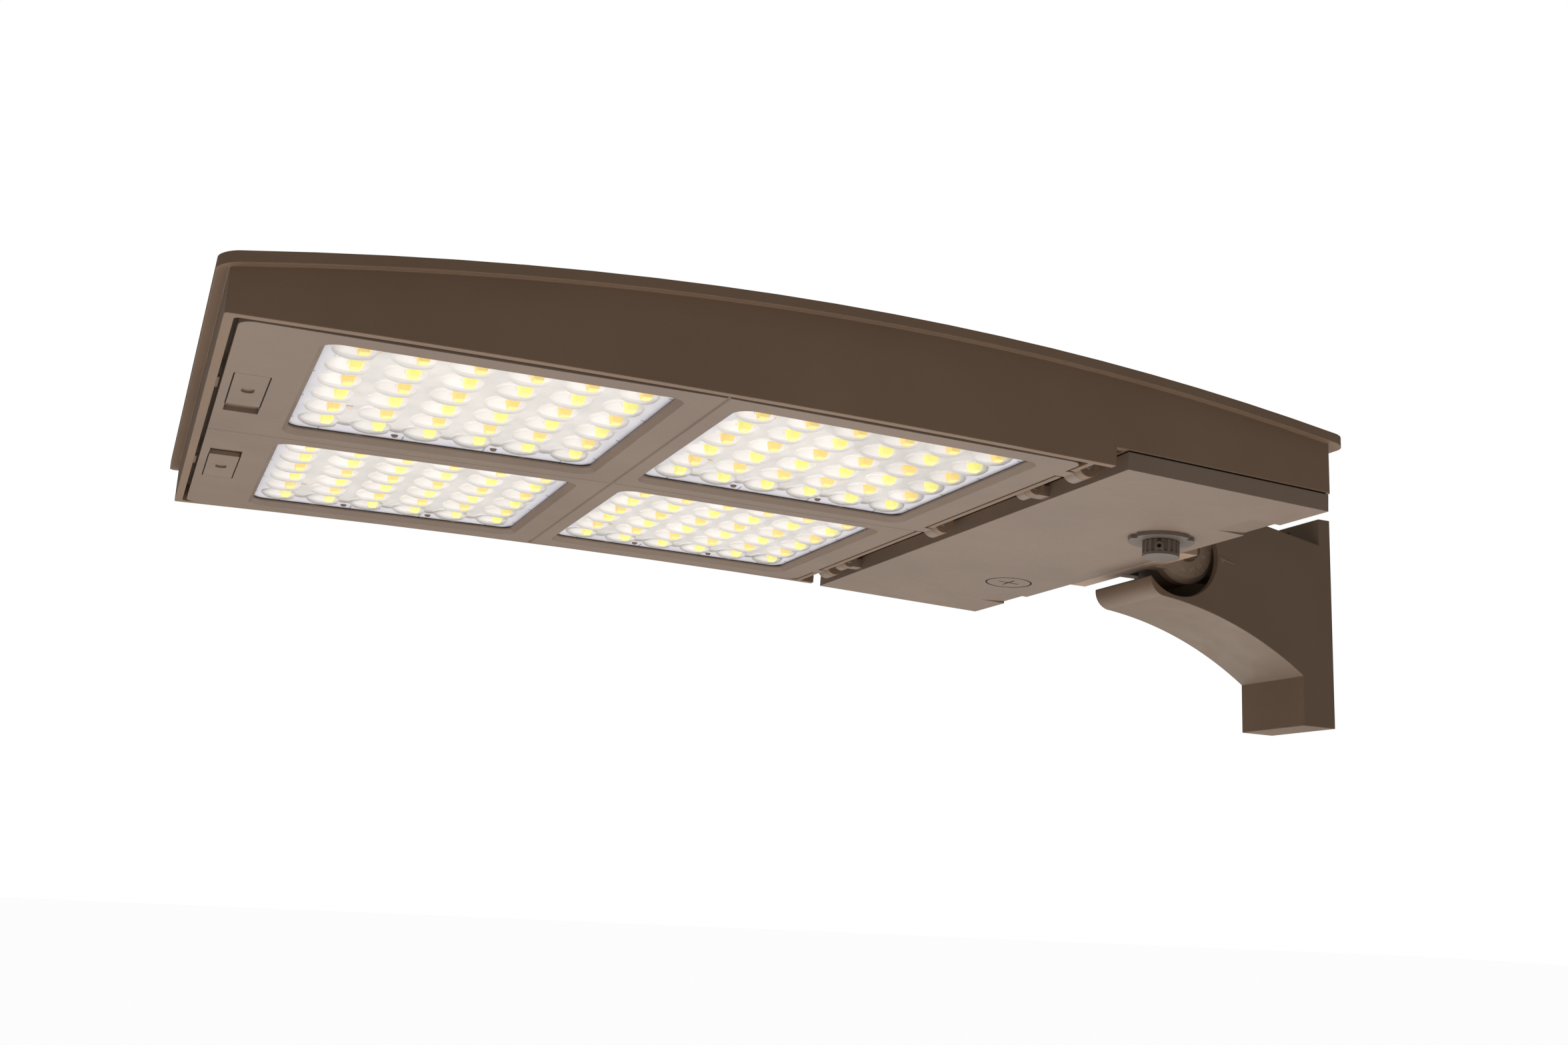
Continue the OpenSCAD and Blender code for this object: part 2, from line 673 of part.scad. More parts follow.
module housing_shell() {
  low_z = axis_z - 2 * barrel_r;
  intersection() {
    union() {
      translate([0, 0, low_z])
        round_plate(-body_half, body_half, nose_y, rear_y, body_corner_r, 2 * crown_h, round_fn, body_rear_r);
      difference() {
        translate([0, 0, low_z]) round_plate(-body_half - lip_side, body_half + lip_side,
          lip_front_y, lip_back_y, lip_corner_r, 2 * crown_h, round_fn, lip_rear_r);
        under_arch(lip_t);
      }
    }
    under_arch(0);
  }
}

module optic_space() {
  low = -2 * barrel_r;
  intersection() {
    translate([0, 0, axis_z + low])
      round_plate(-inner_half, inner_half, nose_in_y, cross_front_y, inner_corner_r, 2 * crown_h,
        round_fn, body_rear_r);
    union() {
      bend_slab(body_half, nose_y, cross_rear_y, low, sink_z);
      bend_slab(body_half, nose_y, cross_rear_y, sink_z + sink_t, 2 * crown_h);
    }
  }
}

module driver_space() {
  low_z = axis_z - 2 * barrel_r;
  intersection() {
    union() {
      translate([-inner_half, tray_front_y + wall_t, low_z])
        cube([2 * inner_half, rear_y - tray_front_y - 2 * wall_t, 2 * crown_h]);
      translate([-inner_half, cross_rear_y, channel_top_z + channel_skin])
        cube([2 * inner_half, tray_front_y + 2 * wall_t - cross_rear_y, crown_h]);
    }
    under_arch(skin_t);
  }
}

module heat_fins() {
  count = floor((inner_half - fin_pitch / 4) / fin_pitch);
  intersection() {
    for (i = [-count:count]) translate([i * fin_pitch - fin_t / 2, nose_in_y - wall_t / 2, 0])
      cube([fin_t, cross_rear_y - nose_in_y + wall_t / 2 - cross_t / 2, 2 * crown_h + hub_z]);
    bend_slab(body_half, nose_in_y - wall_t / 2, cross_rear_y - cross_t / 2,
      sink_z + sink_t / 2, 2 * crown_h);
    under_arch(fin_drop);
  }
}

module gasket_ledge() {
  difference() {
    bend_slab(inner_half + wall_t / 2, ledge_front_y, cross_front_y + cross_t / 2,
      ledge_z, sink_z + sink_t / 2);
    bend_slab(ledge_half, ledge_front_y + ledge_w, optic_rear_y - ledge_w, 0, sink_z);
  }
}

module housing() {
  color([0.33, 0.28, 0.24]) difference() {
    union() {
      difference() {
        housing_shell();
        x_rod(-body_w, body_w, rim_cy, rim_cz, rim_arc_r, big_fn);
        optic_space();
        driver_space();
        translate([-inner_half, cross_rear_y, axis_z - 2 * barrel_r])
          cube([2 * inner_half, tray_front_y - cross_rear_y, 2 * barrel_r + channel_h]);
        on_tray() translate([-body_w, side_end_y - tray_front_y, -tray_len])
          cube([2 * body_w, 2 * tray_len, tray_len + tray_h + tray_gap]);
        for (x = OPTIC_TAB_XS)
          translate([x - tab_w / 2 - cross_gap, cross_front_y - over, axis_z - 2 * barrel_r])
          cube([tab_w + 2 * cross_gap, cross_t + 2 * over, 3 * barrel_r]);
      }
      heat_fins();
      gasket_ledge();
      for (x = OPTIC_TAB_XS) hinge_lug(x, tab_w / 2, barrel_r);
      for (x = TRAY_TAB_XS) hinge_lug(x, arm_tab_w / 2, small_barrel_r);
      for (s = [-1, 1]) on_half(0)
        translate([s * stem_x - keeper_len / 2, nose_in_y - mid_y - wall_t / 2, door_t / 2])
        cube([keeper_len, wall_t / 2 + keeper_reach, keeper_t]);
      intersection() {
        for (p = GEAR_POSTS) translate([p[0], p[1], gear_z])
          cylinder(r = post_r, h = crown_h, $fn = small_fn);
        under_arch(skin_t / 2);
      }
    }
    x_rod(-inner_half, inner_half, axis_y, axis_z, pin_d / 2 + run_fit, small_fn);
    for (p = GEAR_POSTS) translate([p[0], p[1], gear_z - over])
      cylinder(r = gear_screw_r + run_fit, h = 2 * gear_head_t + over, $fn = small_fn);
    for (p = PANELS) on_panel(p) panel_screws(board_z, screw_r + run_fit, board_t + screw_bite);
    for (x = KNUCKLE_SCREW_XS)
      translate([x, rear_y - wall_t - over, knuckle_screw_z]) rotate([-90, 0, 0])
      cylinder(r = knuckle_screw_r + run_fit, h = wall_t + 2 * over, $fn = small_fn);
    translate([0, rear_y - wall_t - over, grommet_z]) rotate([-90, 0, 0])
      cylinder(r = grommet_r + run_fit, h = wall_t + 2 * over, $fn = small_fn);
  }
}

// Boards, LEDs and lens plates, one of each on every panel

module panel_screws(z, r, h) {
  for (sx = [-1, 1], sy = [-1, 1]) translate([sx * screw_x, sy * screw_y, z])
    cylinder(r = r, h = h, $fn = small_fn);
}

module led_board(p) {
  color([0.93, 0.93, 0.91]) on_panel(p) difference() {
    translate([-lens_w / 2, -lens_len / 2, board_z]) cube([lens_w, lens_len, board_t]);
    panel_screws(board_z - over, screw_r + run_fit, board_t + 2 * over);
  }
}

module led_chips(p) {
  on_panel(p) for (i = [0:led_count - 1], j = [0:led_count - 1])
    color(i % 2 == 0 ? [0.98, 0.75, 0.3] : [0.97, 0.92, 0.45])
    translate([led_offset(i, led_pitch_x) - led_w / 2, led_offset(j, led_pitch_y) - led_w / 2, led_z])
    cube([led_w, led_w, led_h]);
}

module dome_cap() {
  intersection() {
    translate([0, 0, dome_sphere_r - dome_h]) sphere(r = dome_sphere_r, $fn = small_fn);
    translate([0, 0, -dome_h - over]) cylinder(r = dome_r, h = dome_h + over + lens_t / 2, $fn = small_fn);
  }
}

module lens_plate(p) {
  color([0.9, 0.93, 0.95, 0.5]) on_panel(p) difference() {
    union() {
      translate([0, 0, lens_z])
        round_plate(-lens_w / 2, lens_w / 2, -lens_len / 2, lens_len / 2, lens_corner_r, lens_t, small_fn);
      difference() {
        translate([-lens_w / 2, -lens_len / 2 + lens_corner_r, rim_z - lens_t / 2])
          cube([lens_w, lens_len - 2 * lens_corner_r, lens_gap + lens_t / 2]);
        translate([-lens_w / 2 + lens_rim_w, -lens_len / 2, rim_z])
          cube([lens_w - 2 * lens_rim_w, lens_len, lens_gap + over]);
      }
      for (i = [0:led_count - 1], j = [0:led_count - 1])
        translate([led_offset(i, led_pitch_x), led_offset(j, led_pitch_y), lens_z]) dome_cap();
      panel_screws(rim_z - lens_t / 2, screw_boss_r, lens_gap + lens_t / 2);
    }
    panel_screws(lens_z - over, screw_r + run_fit, lens_t + lens_gap + 2 * over);
    panel_screws(lens_z - over, screw_head_r + run_fit, screw_head_t + over);
  }
}

module lens_screws() {
  color([0.62, 0.62, 0.6]) for (p = PANELS) on_panel(p) {
    panel_screws(lens_z, screw_head_r, screw_head_t);
    panel_screws(lens_z + screw_head_t / 2, screw_r, board_z + board_t + screw_bite - lens_z - screw_head_t);
  }
}

// Hinge pins: each is fast in a lug of the housing and stands out through a tab of a door

module hinge_pin(x, half) {
  x_rod(x - half, x + half + face_gap + lug_t, axis_y, axis_z, pin_d / 2, small_fn);
}

module optic_pins() {
  color([0.62, 0.62, 0.6]) for (x = OPTIC_TAB_XS) hinge_pin(x, tab_w / 2);
}

module tray_pins() {
  color([0.62, 0.62, 0.6]) for (x = TRAY_TAB_XS) hinge_pin(x, arm_tab_w / 2);
}

// Gear in the driver compartment, hung from posts under the skin

module gear_case(c, size) {
  total = size[0] + 2 * foot_len;
  difference() {
    union() {
      translate([c[0] - size[0] / 2, c[1] - size[1] / 2, gear_z - size[2]]) cube(size);
      translate([c[0] - total / 2, c[1] - size[1] / 4, gear_z - foot_t]) cube([total, size[1] / 2, foot_t]);
    }
    for (e = [-1, 1]) translate([c[0] + e * (size[0] + foot_len) / 2, c[1], gear_z - foot_t - over])
      cylinder(r = gear_screw_r + run_fit, h = foot_t + 2 * over, $fn = small_fn);
  }
}

module led_driver(s) {
  rib_w = 2;
  rib_count = 5;
  rib_pitch = driver_len / (rib_count + 1);
  color([0.75, 0.75, 0.73]) difference() {
    gear_case([s * driver_cx, driver_cy], [driver_len, driver_w, driver_h]);
    for (i = [1:rib_count])
      translate([s * driver_cx - driver_len / 2 + i * rib_pitch, driver_cy - driver_w,
        gear_z - driver_h - over]) cube([rib_w, 2 * driver_w, rib_w + over]);
  }
}

module surge_protector() {
  color([0.2, 0.2, 0.22]) gear_case(surge_c, surge_size);
}

module terminal_block() {
  way_count = 3;
  way_r = 3.4;
  way_pitch = block_size[0] / way_count;
  color([0.88, 0.87, 0.82]) difference() {
    gear_case(block_c, block_size);
    for (i = [0:way_count - 1])
      translate([block_c[0] + (i - (way_count - 1) / 2) * way_pitch, block_c[1],
        gear_z - block_size[2] - over])
      cylinder(r = way_r, h = block_size[2] * pocket_share + over, $fn = small_fn);
  }
}

module gear_screws() {
  color([0.62, 0.62, 0.6]) for (p = GEAR_POSTS) {
    translate([p[0], p[1], gear_z - foot_t - gear_head_t])
      cylinder(r = gear_head_r, h = gear_head_t, $fn = small_fn);
    translate([p[0], p[1], gear_z - foot_t - gear_head_t / 2])
      cylinder(r = gear_screw_r, h = foot_t + 2 * gear_head_t, $fn = small_fn);
  }
}

// Optic door

// A window's opening: straight at the lens side, flared to the outside by win_bevel
module window_cut() {
  straight_share = 0.25;
  w0 = win_w / 2 - win_bevel;
  l0 = win_len / 2 - win_bevel;
  r0 = win_r - win_bevel;
  flare_h = door_t * (1 - straight_share);
  translate([0, 0, -over]) round_plate(-w0, w0, -l0, l0, r0, door_t + 2 * over);
  for (sx = [-1, 1], sy = [-1, 1]) translate([sx * (w0 - r0), sy * (l0 - r0), 0])
    cylinder(r1 = win_r, r2 = r0, h = flare_h, $fn = round_fn);
  rotate([90, 0, 90]) translate([0, 0, r0 - w0]) linear_extrude(2 * (w0 - r0))
    polygon([[-l0 - win_bevel, 0], [l0 + win_bevel, 0], [l0, flare_h], [-l0, flare_h]]);
  rotate([90, 0, 0]) translate([0, 0, r0 - l0]) linear_extrude(2 * (l0 - r0))
    polygon([[-w0 - win_bevel, 0], [w0 + win_bevel, 0], [w0, flare_h], [-w0, flare_h]]);
}

module latch_pocket(s) {
  slot_gap = 2 * face_gap;
  slot_x0 = stem_x - stem_len / 2 - latch_travel - slot_gap;
  slot_x1 = stem_x + stem_len / 2 + slot_gap;
  on_latch(s) {
    translate([pocket_x, -pocket_w / 2, -over]) cube([pocket_len, pocket_w, over + latch_t + face_gap]);
    translate([slot_x0, -stem_w / 2 - slot_gap, 0])
      cube([slot_x1 - slot_x0, stem_w + 2 * slot_gap, door_t + over]);
  }
}

module optic_door() {
  color([0.52, 0.47, 0.42]) difference() {
    union() {
      intersection() {
        bend_slab(door_half, optic_front_y, optic_rear_y, 0, door_t);
        translate([0, 0, mid_z - 2 * barrel_r])
          round_plate(-door_half, door_half, optic_front_y, optic_rear_y, door_corner_r, 4 * barrel_r);
      }
      for (x = OPTIC_TAB_XS) {
        x_rod(x - tab_w / 2, x + tab_w / 2, axis_y, axis_z, barrel_r, small_fn);
        translate([x - tab_w / 2, optic_rear_y - over, roof_z(optic_rear_y)])
          cube([tab_w, axis_to_optic + over, door_t]);
      }
    }
    for (p = PANELS) on_panel(p) window_cut();
    for (s = [-1, 1]) latch_pocket(s);
    for (h = [0, 1]) on_half(h) translate([0, (h - 1) * door_w * 2, 0]) rotate([0, 45, 0])
      translate([-seam_w / 2, 0, -seam_w / 2]) cube([seam_w, 2 * door_w, seam_w]);
    translate([-door_w, mid_y, mid_z]) rotate([45, 0, 0])
      translate([0, -seam_w / 2, -seam_w / 2]) cube([2 * door_w, seam_w, seam_w]);
    x_rod(-door_w, door_w, axis_y, axis_z, pin_d / 2 + run_fit, small_fn);
  }
}

module optic_gasket() {
  half = door_half - (ledge_w - gasket_w) / 2;
  front = ledge_front_y + (ledge_w - gasket_w) / 2;
  back = optic_rear_y - (ledge_w - gasket_w) / 2;
  color([0.15, 0.15, 0.15]) difference() {
    bend_slab(half, front, back, door_t, door_t + gasket_t);
    bend_slab(half - gasket_w, front + gasket_w, back - gasket_w, door_t - over, door_t + gasket_t + over);
  }
}

// Latches: a plate flush with the door, and a hook on its stem behind the door

module on_latch(s) {
  on_half(0) mirror([s < 0 ? 1 : 0, 0, 0]) translate([0, latch_y, 0]) children();
}

module latch(s) {
  finger_w = 5;
  finger_len = 8;
  color([0.5, 0.45, 0.4]) on_latch(s) difference() {
    union() {
      translate([latch_x0, -pocket_w / 2 + face_gap, 0])
        cube([latch_x1 - latch_x0, pocket_w - 2 * face_gap, latch_t]);
      translate([stem_x - stem_len / 2, -stem_w / 2, latch_t / 2])
        cube([stem_len, stem_w, door_t + face_gap - latch_t / 2]);
      translate([stem_x, 0, latch_t])
        cylinder(r = peg_r, h = door_t + face_gap + hook_t - latch_t, $fn = small_fn);
    }
    for (e = [-1, 1]) translate([stem_x + e * (finger_len - finger_w) / 2, 0, -over])
      cylinder(d = finger_w, h = latch_t / 2 + over, $fn = small_fn);
    translate([stem_x - (finger_len - finger_w) / 2, -finger_w / 2, -over])
      cube([finger_len - finger_w, finger_w, latch_t / 2 + over]);
  }
}

module latch_hook(s) {
  color([0.62, 0.62, 0.6]) on_latch(s) translate([stem_x, 0, door_t + face_gap]) difference() {
    translate([-hook_len / 2, -hook_w / 2, 0]) cube([hook_len, hook_w, hook_t]);
    translate([0, 0, -over]) cylinder(r = peg_r + run_fit, h = hook_t + 2 * over, $fn = small_fn);
  }
}

// Driver door: a shallow tray with its walls flush under the housing's walls

GRIP_XS = [body_half - grip_near_inset, grip_far_inset - body_half];
knock_x = knock_side - body_half;
tray_sensor = [body_half - sensor_side, tray_len - sensor_inset];
nut_inner_t = 3.4;
nut_inner_r = 14;
socket_h = 15;
spindle_r = 5;
spindle_h = 6;

module driver_door() {
  mark_w = 0.9;
  mark_depth = 0.5;
  color([0.55, 0.5, 0.45]) difference() {
    union() {
      on_tray() difference() {
        translate([-body_half, 0, 0]) cube([body_w, tray_len, tray_h]);
        translate([-body_half + tray_wall, tray_wall, tray_t])
          cube([body_w - 2 * tray_wall, tray_len - 2 * tray_wall, tray_h]);
      }
      for (x = TRAY_TAB_XS) {
        x_rod(x - arm_tab_w / 2, x + arm_tab_w / 2, axis_y, axis_z, small_barrel_r, small_fn);
        translate([x - arm_tab_w / 2, axis_y, axis_z - small_barrel_r * pocket_share])
          cube([arm_tab_w, axis_to_tray + tray_wall / 2, 2 * small_barrel_r * pocket_share]);
      }
    }
    x_rod(-body_w, body_w, axis_y, axis_z, pin_d / 2 + run_fit, small_fn);
    on_tray() {
      translate([tray_sensor[0], tray_sensor[1], -over])
        cylinder(r = socket_r + run_fit, h = tray_t + 2 * over, $fn = round_fn);
      for (x = GRIP_XS) translate([x - grip_w / 2, 0, 0]) rotate([90, 0, 90]) linear_extrude(grip_w)
        polygon([[tray_len - grip_len, 0], [tray_len + over, 0], [tray_len + over, grip_depth]]);
      translate([knock_x, tray_len - knock_inset, -over]) difference() {
        cylinder(r = knock_r, h = over + mark_depth, $fn = round_fn);
        cylinder(r = knock_r - mark_w, h = over + mark_depth, $fn = round_fn);
      }
    }
  }
}

module driver_gasket() {
  rim = tray_wall / 4;
  h = tray_gap - face_gap;
  color([0.15, 0.15, 0.15]) on_tray() difference() {
    translate([-body_half + rim, rim, tray_h]) cube([body_w - 2 * rim, tray_len - 2 * rim, h]);
    translate([-body_half + 3 * rim, 3 * rim, tray_h - over])
      cube([body_w - 6 * rim, tray_len - 6 * rim, h + 2 * over]);
  }
}

// Spring clips on the inside of the driver door, in line with the finger grips
clip_w = 16;
clip_t = 1;
clip_h = 18;
clip_foot = 14;
clip_screw_r = 1.5;

module on_clip(x) {
  on_tray() translate([x, tray_len - tray_wall - face_gap, tray_t]) children();
}

module door_clips() {
  color([0.7, 0.7, 0.68]) for (x = GRIP_XS) on_clip(x) difference() {
    union() {
      translate([-clip_w / 2, -clip_t, 0]) cube([clip_w, clip_t, clip_h]);
      translate([-clip_w / 2, -clip_foot, 0]) cube([clip_w, clip_foot, clip_t]);
    }
    translate([0, -clip_foot / 2, -over])
      cylinder(r = clip_screw_r + run_fit, h = clip_t + 2 * over, $fn = small_fn);
  }
}

module clip_screws() {
  head_h = 1.6;
  color([0.62, 0.62, 0.6]) for (x = GRIP_XS) on_clip(x) translate([0, -clip_foot / 2, 0]) {
    cylinder(r = clip_screw_r, h = clip_t, $fn = small_fn);
    translate([0, 0, clip_t]) cylinder(r = 2 * clip_screw_r, h = head_h, $fn = small_fn);
  }
}

module on_sensor() {
  on_tray() translate([tray_sensor[0], tray_sensor[1], 0]) children();
}

module sensor_receptacle() {
  notch_r = 2.2;
  color([0.45, 0.4, 0.36]) on_sensor() difference() {
    union() {
      translate([0, 0, -flange_t]) cylinder(r = flange_r, h = flange_t, $fn = round_fn);
      translate([0, 0, -flange_t / 2]) cylinder(r = socket_r, h = flange_t / 2 + socket_h, $fn = round_fn);
    }
    for (a = [30, 150, 270]) rotate([0, 0, a]) translate([flange_r, 0, -flange_t - over])
      cylinder(r = notch_r, h = flange_t + over - run_fit, $fn = small_fn);
    translate([0, 0, -flange_t - over])
      cylinder(r = spindle_r + run_fit, h = over + spindle_h + face_gap, $fn = small_fn);
  }
}

module receptacle_nut() {
  grip_count = 12;
  color([0.2, 0.2, 0.2]) on_sensor() translate([0, 0, tray_t]) difference() {
    cylinder(r = nut_inner_r, h = nut_inner_t, $fn = round_fn);
    translate([0, 0, -over]) cylinder(r = socket_r + run_fit, h = nut_inner_t + 2 * over, $fn = round_fn);
    for (i = [0:grip_count - 1]) rotate([0, 0, i * 360 / grip_count]) translate([nut_inner_r, 0, -over])
      cylinder(r = nut_inner_t / 4, h = nut_inner_t + 2 * over, $fn = small_fn);
  }
}

module sensor_cap() {
  flute_share = 0.09;
  flute_top_share = 0.8;
  boss_share = 0.28;
  boss_turn = 40;
  dimple_share = 0.7;
  flute_r = cap_r * flute_share;
  boss_r = cap_h * boss_share;
  boss_reach = cap_r + boss_r / 2;
  top_z = -flange_t - face_gap;
  color([0.5, 0.44, 0.4]) on_sensor() difference() {
    union() {
      translate([0, 0, top_z - cap_h]) cylinder(r = cap_r, h = cap_h, $fn = round_fn);
      translate([0, 0, top_z - cap_h / 2]) rotate([0, 90, -boss_turn])
        cylinder(r = boss_r, h = boss_reach, $fn = small_fn);
      translate([0, 0, top_z - over])
        cylinder(r = spindle_r, h = over - top_z + spindle_h - face_gap - flange_t, $fn = small_fn);
    }
    for (i = [0:flutes - 1]) rotate([0, 0, i * 360 / flutes])
      translate([cap_r, 0, top_z - cap_h * flute_top_share]) cylinder(r = flute_r, h = cap_h, $fn = fine_fn);
    translate([0, 0, top_z - cap_h / 2]) rotate([0, 90, -boss_turn])
      translate([0, 0, cap_r * dimple_share]) cylinder(r = boss_r / 2, h = boss_reach, $fn = small_fn);
  }
}

arm_bracket();
tilt_bolt();
tilt_nut();
housing();
knuckle();
knuckle_screws();
wire_grommet();
led_board(PANELS[0]);  // led_board_1
led_board(PANELS[1]);  // led_board_2
led_board(PANELS[2]);  // led_board_3
led_board(PANELS[3]);  // led_board_4
led_chips(PANELS[0]);  // led_chips_1
led_chips(PANELS[1]);  // led_chips_2
led_chips(PANELS[2]);  // led_chips_3
led_chips(PANELS[3]);  // led_chips_4
lens_plate(PANELS[0]);  // lens_plate_1
lens_plate(PANELS[1]);  // lens_plate_2
lens_plate(PANELS[2]);  // lens_plate_3
lens_plate(PANELS[3]);  // lens_plate_4
lens_screws();
optic_pins();
tray_pins();
led_driver(1);  // led_driver_1
led_driver(-1);  // led_driver_2
surge_protector();
terminal_block();
gear_screws();
optic_door();
optic_gasket();
latch(1);  // latch_near
latch(-1);  // latch_far
latch_hook(1);  // latch_hook_near
latch_hook(-1);  // latch_hook_far
driver_door();
driver_gasket();
door_clips();
clip_screws();
sensor_receptacle();
receptacle_nut();
sensor_cap();
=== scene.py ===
# %% [markdown]
# A shoebox area light on its tilting arm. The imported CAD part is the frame: every casting, door, board and pin is
# already there, in metres, with +Y into the pole, the nose towards -Y and +Z up. This lesson gives each surface its
# finish, swaps the plain lens plates and LED blocks for moulded optics and real packages, adds the small marks, and
# sets the camera, the floor and the light.

# %% Load the frame
import math

import bmesh
import bpy
from mathutils import Matrix, Vector


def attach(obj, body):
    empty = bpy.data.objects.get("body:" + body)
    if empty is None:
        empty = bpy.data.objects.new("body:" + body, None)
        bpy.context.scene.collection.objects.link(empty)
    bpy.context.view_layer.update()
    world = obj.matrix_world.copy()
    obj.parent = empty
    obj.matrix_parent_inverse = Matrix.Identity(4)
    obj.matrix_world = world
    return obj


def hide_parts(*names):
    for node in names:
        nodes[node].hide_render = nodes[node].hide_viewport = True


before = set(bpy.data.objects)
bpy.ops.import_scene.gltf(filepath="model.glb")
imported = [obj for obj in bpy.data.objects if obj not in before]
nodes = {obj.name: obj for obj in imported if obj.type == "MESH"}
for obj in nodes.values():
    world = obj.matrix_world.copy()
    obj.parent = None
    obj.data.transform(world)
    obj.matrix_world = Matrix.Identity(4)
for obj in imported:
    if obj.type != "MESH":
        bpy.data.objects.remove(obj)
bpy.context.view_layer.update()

MM = 0.001

# %% [markdown]
# The camera stands in front of the nose, to the near side and below the light. Its place and turn come from the
# known corners of the housing, the doors and the arm, so its axes are written as three directions: right, down and
# forward. Moving a camera by eye would leave every edge some pixels off. Blender's camera looks along its own -Z with
# +Y up, so down and forward change their signs.

# %% Camera
LENS_MM, SENSOR_MM = 37.164, 36.0
CAMERA_PLACE = Vector((725.13, -620.69, -163.65)) * MM
CAMERA_RIGHT = Vector((0.39219898, 0.91862637, 0.04801618))
CAMERA_DOWN = Vector((-0.19047625, 0.13216747, -0.97275411))
CAMERA_AHEAD = Vector((-0.89994375, 0.37236723, 0.22681245))

camera = bpy.data.objects.new("camera", bpy.data.cameras.new("camera"))
bpy.context.scene.collection.objects.link(camera)
camera.data.lens = LENS_MM
camera.data.sensor_width = SENSOR_MM
camera.data.sensor_fit = "HORIZONTAL"
camera.data.clip_start = 0.01
turn = Matrix((CAMERA_RIGHT, -CAMERA_DOWN, -CAMERA_AHEAD)).transposed()
camera.matrix_world = Matrix.Translation(CAMERA_PLACE) @ turn.to_4x4()
bpy.context.scene.camera = camera
print("camera at", [round(v, 3) for v in CAMERA_PLACE])

# %% [markdown]
# Finishes are node materials. Every one starts from Object coordinates, which are the part's own metres, so a grain
# of 1 mm is a noise scale of 1000. A small helper makes the nodes and joins them, to keep each finish short.


# %% Node helper
def shade(colour, factor, lift=0.0):
    """The colour scaled and lifted, no brighter than white, with full alpha."""
    return tuple(min(1, c * factor + lift) for c in colour) + (1,)


class Finish:
    """A node material with one Principled shader, whose nodes are added and joined by name."""

    def __init__(self, name, **sockets):
        self.material = bpy.data.materials.new(name)
        self.material.use_nodes = True
        self.tree = self.material.node_tree
        self.shader = self.tree.nodes["Principled BSDF"]
        self.output = self.tree.nodes["Material Output"]
        self.place = self.node("ShaderNodeTexCoord").outputs["Object"]
        self.drive(**sockets)

    def node(self, kind, inputs=None, **settings):
        made = self.tree.nodes.new(kind)
        for name, value in settings.items():
            setattr(made, name, value)
        for name, value in (inputs or {}).items():
            self.feed(value, made.inputs[name])
        return made

    def feed(self, value, socket):
        if isinstance(value, bpy.types.NodeSocket):
            self.tree.links.new(value, socket)
        else:
            socket.default_value = value

    def drive(self, **sockets):
        """Feeds the shader's own sockets, whose names have underscores for spaces."""
        for name, value in sockets.items():
            self.feed(value, self.shader.inputs[name.replace("_", " ")])

    def mix_output(self, share, second):
        """Puts a second shader beside the Principled one, by a share from 0 to 1."""
        mix = self.node("ShaderNodeMixShader", {0: share, 1: self.shader.outputs[0], 2: second})
        self.feed(mix.outputs[0], self.output.inputs["Surface"])

    def noise(self, grain_mm, detail=2.0, roughness=0.5):
        return self.node(
            "ShaderNodeTexNoise",
            {"Vector": self.place, "Scale": 1 / (grain_mm * MM), "Detail": detail, "Roughness": roughness},
        ).outputs["Fac"]

    def spread(self, value, low, high, to_low=0.0, to_high=1.0):
        return self.node(
            "ShaderNodeMapRange",
            {"Value": value, "From Min": low, "From Max": high, "To Min": to_low, "To Max": to_high},
        ).outputs["Result"]

    def blend(self, share, first, second):
        mix = self.node("ShaderNodeMix", data_type="RGBA")
        self.feed(share, mix.inputs["Factor"])
        for socket, value in ((mix.inputs[6], first), (mix.inputs[7], second)):
            self.feed(value, socket)
        return mix.outputs[2]

    def bump(self, height, depth_mm, strength=1.0, normal=None):
        inputs = {"Height": height, "Distance": depth_mm * MM, "Strength": strength}
        if normal is not None:
            inputs["Normal"] = normal
        return self.node("ShaderNodeBump", inputs).outputs["Normal"]

    def round_edges(self, radius_mm):
        return self.node("ShaderNodeBevel", {"Radius": radius_mm * MM}, samples=6).outputs["Normal"]

    def edge_share(self, radius_mm):
        """1 on a sharp edge and 0 on a flat face: how far the rounded normal leaves the true one."""
        true = self.node("ShaderNodeNewGeometry").outputs["True Normal"]
        dot = self.node("ShaderNodeVectorMath", operation="DOT_PRODUCT")
        self.feed(self.round_edges(radius_mm), dot.inputs[0])
        self.feed(true, dot.inputs[1])
        return self.spread(dot.outputs["Value"], 1.0, 0.75)


print("node helper ready")

# %% [markdown]
# The castings wear a bronze powder coat: a satin paint with a fine orange peel, tiny dark specks, slow changes of
# tone where the coat is thicker, and a slightly paler line along the edges, where it draws thin. The Bevel node
# rounds the edges of the CAD solids by about the radius that such castings have. A picture of paint could be wrapped
# round them too, but noise keeps its true grain on every side and needs no file.


# %% Bronze powder coat
# Ranges of a noise value that are stretched to the full change: a sharper one and a softer one
SHARPER, SOFTER = (0.35, 0.65), (0.3, 0.7)
# Grain sizes in mm, and the tones and shares that go with them
THICKNESS_GRAIN, SPECK_GRAIN, WEAR_GRAIN, GLOSS_GRAIN, PEEL_GRAIN = 60, 0.9, 9, 14, 0.75
THIN_TONE, THICK_TONE, SPECK_TONE, EDGE_TONE, EDGE_LIFT = 0.95, 1.05, 0.6, 1.5, 0.02
SPECK_RANGE, SPECK_SHARE, LEAST_WEAR, MOST_WEAR = (0.68, 0.78), 0.35, 0.15, 0.6
PEEL_DEPTH, PEEL_STRENGTH = 0.02, 0.55


